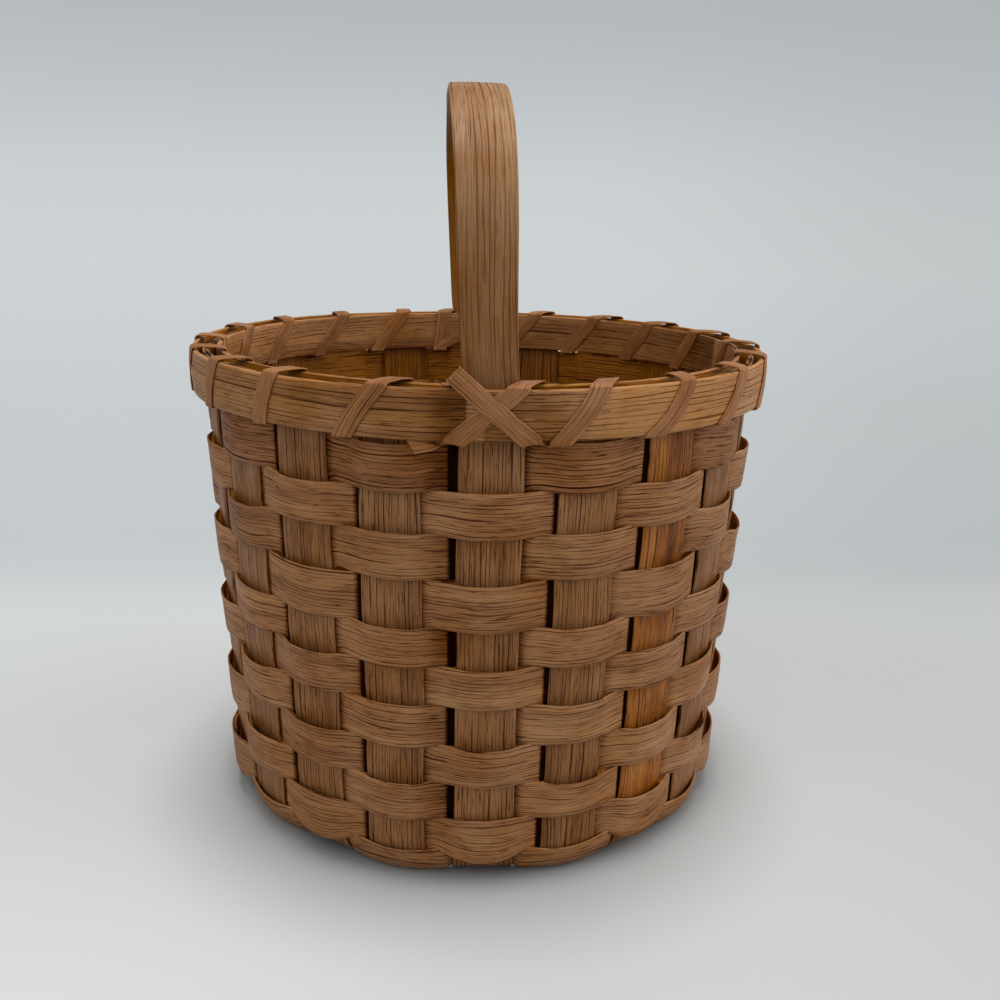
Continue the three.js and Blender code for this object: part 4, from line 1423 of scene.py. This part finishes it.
        # The tail's end is painted paler, a painted highlight
        fresh = np.zeros(len(rows))
        fresh[-self.cut :] = self.paleness
        return Course(polar(angle, radius, height), across, facing, width, self.thickness, self.strip,
                      edge=0.28 * MM, points=5, fresh=fresh)

    def build(self, finish: bpy.types.Material) -> None:
        """Makes and dresses the lashing.

        Args:
            finish: The lashing's material.
        """
        dress(self.course().mesh(), "lashing_strip", finish, Slot.LASHING, "rim_lashing")


@dataclass(frozen=True)
class Studio:
    """Floor, light and camera.

    Attributes:
        distance: From the basket's axis to the camera, level.
        above_rim: Height of the camera over the rim.
        azimuth: Degrees from the front, counter-clockwise.
        heading: Radians that the camera looks past the axis, clockwise.
        pitch: Radians that it looks down.
        roll: Radians that it is turned.
        lens: Focal length on a 36 mm wide sensor.
        lamps: By name, the direction that a softbox lights from, its strength and its span in degrees.
        around: Strength of the light from all round.
        floor_reach: How far the floor reaches.
        floor_drop: How far it lies below the basket, so that the two don't share a plane.
    """

    distance: float = 473.2 * MM
    above_rim: float = 62.8 * MM
    azimuth: float = -2.3
    heading: float = 0.0214
    pitch: float = 0.2752
    roll: float = 0.0216
    lens: float = 39.6
    lamps: dict[str, tuple[tuple[float, float, float], float, float]] = field(default_factory=lambda: {
        "softbox_above": ((0.0, 0.08, 1.0), 1.5, 20.0),
        "softbox_right": ((1.0, 0.0, 0.4), 1.6, 60.0),
        "softbox_front": ((-0.5, -1.0, 0.8), 0.75, 60.0),
    })
    around: float = 0.32
    floor_reach: float = 30.0
    floor_drop: float = 0.05 * MM

    def camera(self, rim_top: float) -> None:
        """Sets up the camera of the photograph.

        Args:
            rim_top: Height of the basket's rim.
        """
        data = bpy.data.cameras.new("camera")
        data.lens = self.lens
        data.sensor_width = 36.0
        data.clip_start = 0.01
        turn = math.radians(self.azimuth)
        level = Vector((math.sin(self.heading - turn), math.cos(self.heading - turn), 0))
        right = Vector((level.y, -level.x, 0))
        forward = level * math.cos(self.pitch) + Vector((0, 0, -math.sin(self.pitch)))
        up = right.cross(forward)
        across = right * math.cos(self.roll) + up * math.sin(self.roll)
        upright = up * math.cos(self.roll) - right * math.sin(self.roll)
        spot = Vector(polar(self.azimuth, self.distance, rim_top + self.above_rim))
        camera = put("camera", data)
        rotation = Matrix((across, upright, -forward)).transposed().to_4x4()
        camera.matrix_world = Matrix.Translation(spot) @ rotation
        bpy.context.scene.camera = camera

    def floor(self, footprint: float) -> None:
        """Lays a pale floor that turns cooler and darker where the photograph's backdrop begins.

        Args:
            footprint: Radius of the part of it that the basket covers. The floor is painted darker there
                and a little beyond, a painted contact shadow.
        """
        mesh = bpy.data.meshes.new("floor")
        reach = self.floor_reach
        corners = [(-reach, -reach, 0), (reach, -reach, 0), (reach, reach, 0), (-reach, reach, 0)]
        mesh.from_pydata(corners, [], [(0, 1, 2, 3)])
        material = bpy.data.materials.new("pale_floor")
        material.use_nodes = True
        graph = Graph(material.node_tree, inner=footprint - 6 * MM, outer=footprint + 25 * MM)
        graph.split(graph.add("ShaderNodeTexCoord").node.outputs["Object"], "x", "y", "z")
        self.name_rays(graph)
        # The light that it sends back is held down, as by the dark room around a studio table
        # Round the footprint the floor is painted darker, a painted contact shadow. Near the basket it is
        # painted lighter on the left and darker on the right, a painted shadow to the side, and further
        # right it is painted darker, a painted shade.
        graph.work("""
            far = maximum(maximum(y, 0), maximum(-y - 0.45, absolute(x) - 0.6))
            aside = smooth(x / (absolute(y) + 0.5), 0.1, 0.5, 1, 0.88)
            shade = smooth((x * x + y * y) ** 0.5, inner, outer, 0.15, 1)
            near = 1 - minimum(far / 0.3, 1)
            side_light = 1 + near * smooth(x, -0.16, 0.04, 0.08, -0.07)
            level = aside * shade * side_light * (0.55 + 0.45 * direct)
        """)
        stops = (
            (0.0, "d0d3d4"),
            (0.15, "cbcfd0"),
            (0.185, "c6cbcd"),
            (0.215, "bfc4c7"),
            (0.26, "bcc1c4"),
            (0.4, "bdc2c5"),
            (0.5, "bec4c6"),
            (0.6, "c1c7ca"),
            (0.78, "c4cacc"),
            (1.0, "c1c7c9"),
        )
        colour = graph.add("ShaderNodeValToRGB", ("far / (far + 0.9)",), stops=stops)
        colour = graph.add("ShaderNodeHueSaturation", {"Value": "level", "Color": colour})
        shader = graph.add("ShaderNodeBsdfDiffuse", {"Color": colour})
        graph.add("ShaderNodeOutputMaterial", {"Surface": shader})
        mesh.materials.append(material)
        floor = put("floor", mesh)
        floor.location.z = -self.floor_drop

    @staticmethod
    def name_rays(graph: Graph) -> None:
        """Names what is 1 for rays that show the surface: straight, mirrored or through something."""
        rays = graph.add("ShaderNodeLightPath").node.outputs
        for name in ("Camera", "Glossy", "Transmission"):
            graph.names[name.lower()] = rays[f"Is {name} Ray"]
        graph.work("direct = maximum(camera, maximum(glossy, transmission))")

    def light(self) -> None:
        """Lights the basket from all round, and more from above and the front."""
        world = bpy.data.worlds.new("studio")
        bpy.context.scene.world = world
        world.use_nodes = True
        graph = Graph(world.node_tree)
        graph.split(graph.add("ShaderNodeTexCoord").node.outputs["Generated"], "x", "y", "rise")
        self.name_rays(graph)
        stops = ((0.0, "cbd1d3"), (0.035, "c6ccce"), (0.08, "bdc3c6"), (0.14, "b4b9bc"), (0.5, "b0b5b8"))
        backdrop = graph.add("ShaderNodeValToRGB", ("rise",), stops=stops)
        graph.names["fade"] = graph.add("ShaderNodeMapRange", ("rise", 0.0, 0.15, 1.0, 0.3))
        # The backdrop is painted darker towards the right, a painted shade
        level = "1 - smooth(x / maximum(absolute(y), 0.05), 0.1, 0.5, 0, 0.12) * fade"
        backdrop = graph.add("ShaderNodeHueSaturation", {"Value": level, "Color": backdrop})
        seen = graph.add("ShaderNodeBackground", {"Color": backdrop, "Strength": 1.0})
        soft = {"Color": (0.97, 0.99, 1.0, 1.0), "Strength": self.around}
        mixed = graph.add("ShaderNodeMixShader", ("direct", graph.add("ShaderNodeBackground", soft), seen))
        graph.add("ShaderNodeOutputWorld", {"Surface": mixed})
        for name, (direction, power, size) in self.lamps.items():
            data = bpy.data.lights.new(name, "SUN")
            data.energy = power
            data.angle = math.radians(size)
            data.color = (1.0, 0.985, 0.96)
            lamp = put(name, data)
            lamp.rotation_euler = (-Vector(direction)).to_track_quat("-Z", "Y").to_euler()
        bpy.context.scene.view_settings.view_transform = "Standard"


FINISHES = {
    Slot.WEAVER: SplitOak("split_oak_weaver", "b58150", "946139", "64391c", "34180b"),
    Slot.UPRIGHT: SplitOak("split_oak_upright", "a87446", "84552e", "583417", "2f1809", ring_gap=1.6 * MM,
                           line_length=26 * MM),
    Slot.HEARTWOOD: SplitOak("split_oak_heartwood", "b67228", "8c4f16", "5e2e0a", "341505",
                             ring_gap=1.7 * MM, line_length=26 * MM, contrast=1.7),
    Slot.RIM: SplitOak("shaved_oak_rim", "b98149", "905e32", "663d1c", "391f0d", ring_gap=1.8 * MM,
                       band=8 * MM, line_length=30 * MM, depth=0.64),
    Slot.HANDLE: SplitOak("shaved_oak_handle", "ae8358", "87572c", "62391a", "3a200e", contrast=0.6,
                          wander_length=160 * MM, ring_gap=2.1 * MM, line_length=60 * MM,
                          pore_length=16 * MM, band=10 * MM, depth=0.36),
    Slot.LASHING: SplitOak("split_oak_lashing", "b07743", "89562d", "663b1a", "391e0c", ring_gap=1.2 * MM,
                           line_length=30 * MM, depth=0.5),
}


def main() -> None:
    """Loads the frame, dresses it and sets up the studio."""
    logging.basicConfig(level=logging.INFO, format="%(name)s: %(message)s")
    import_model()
    body = Body.measured()
    finishes = {slot: finish.build() for slot, finish in FINISHES.items()}
    Uprights(body).build(finishes)
    Weaving(body).build(finishes[Slot.WEAVER])
    Hoops(body).build(finishes[Slot.RIM])
    Handle(body).build(finishes[Slot.HANDLE])
    Lashing(body).build(finishes[Slot.LASHING])
    studio = Studio()
    studio.camera(body.rim_top)
    studio.floor(body.floor_radius)
    studio.light()


if __name__ == "__main__":
    main()
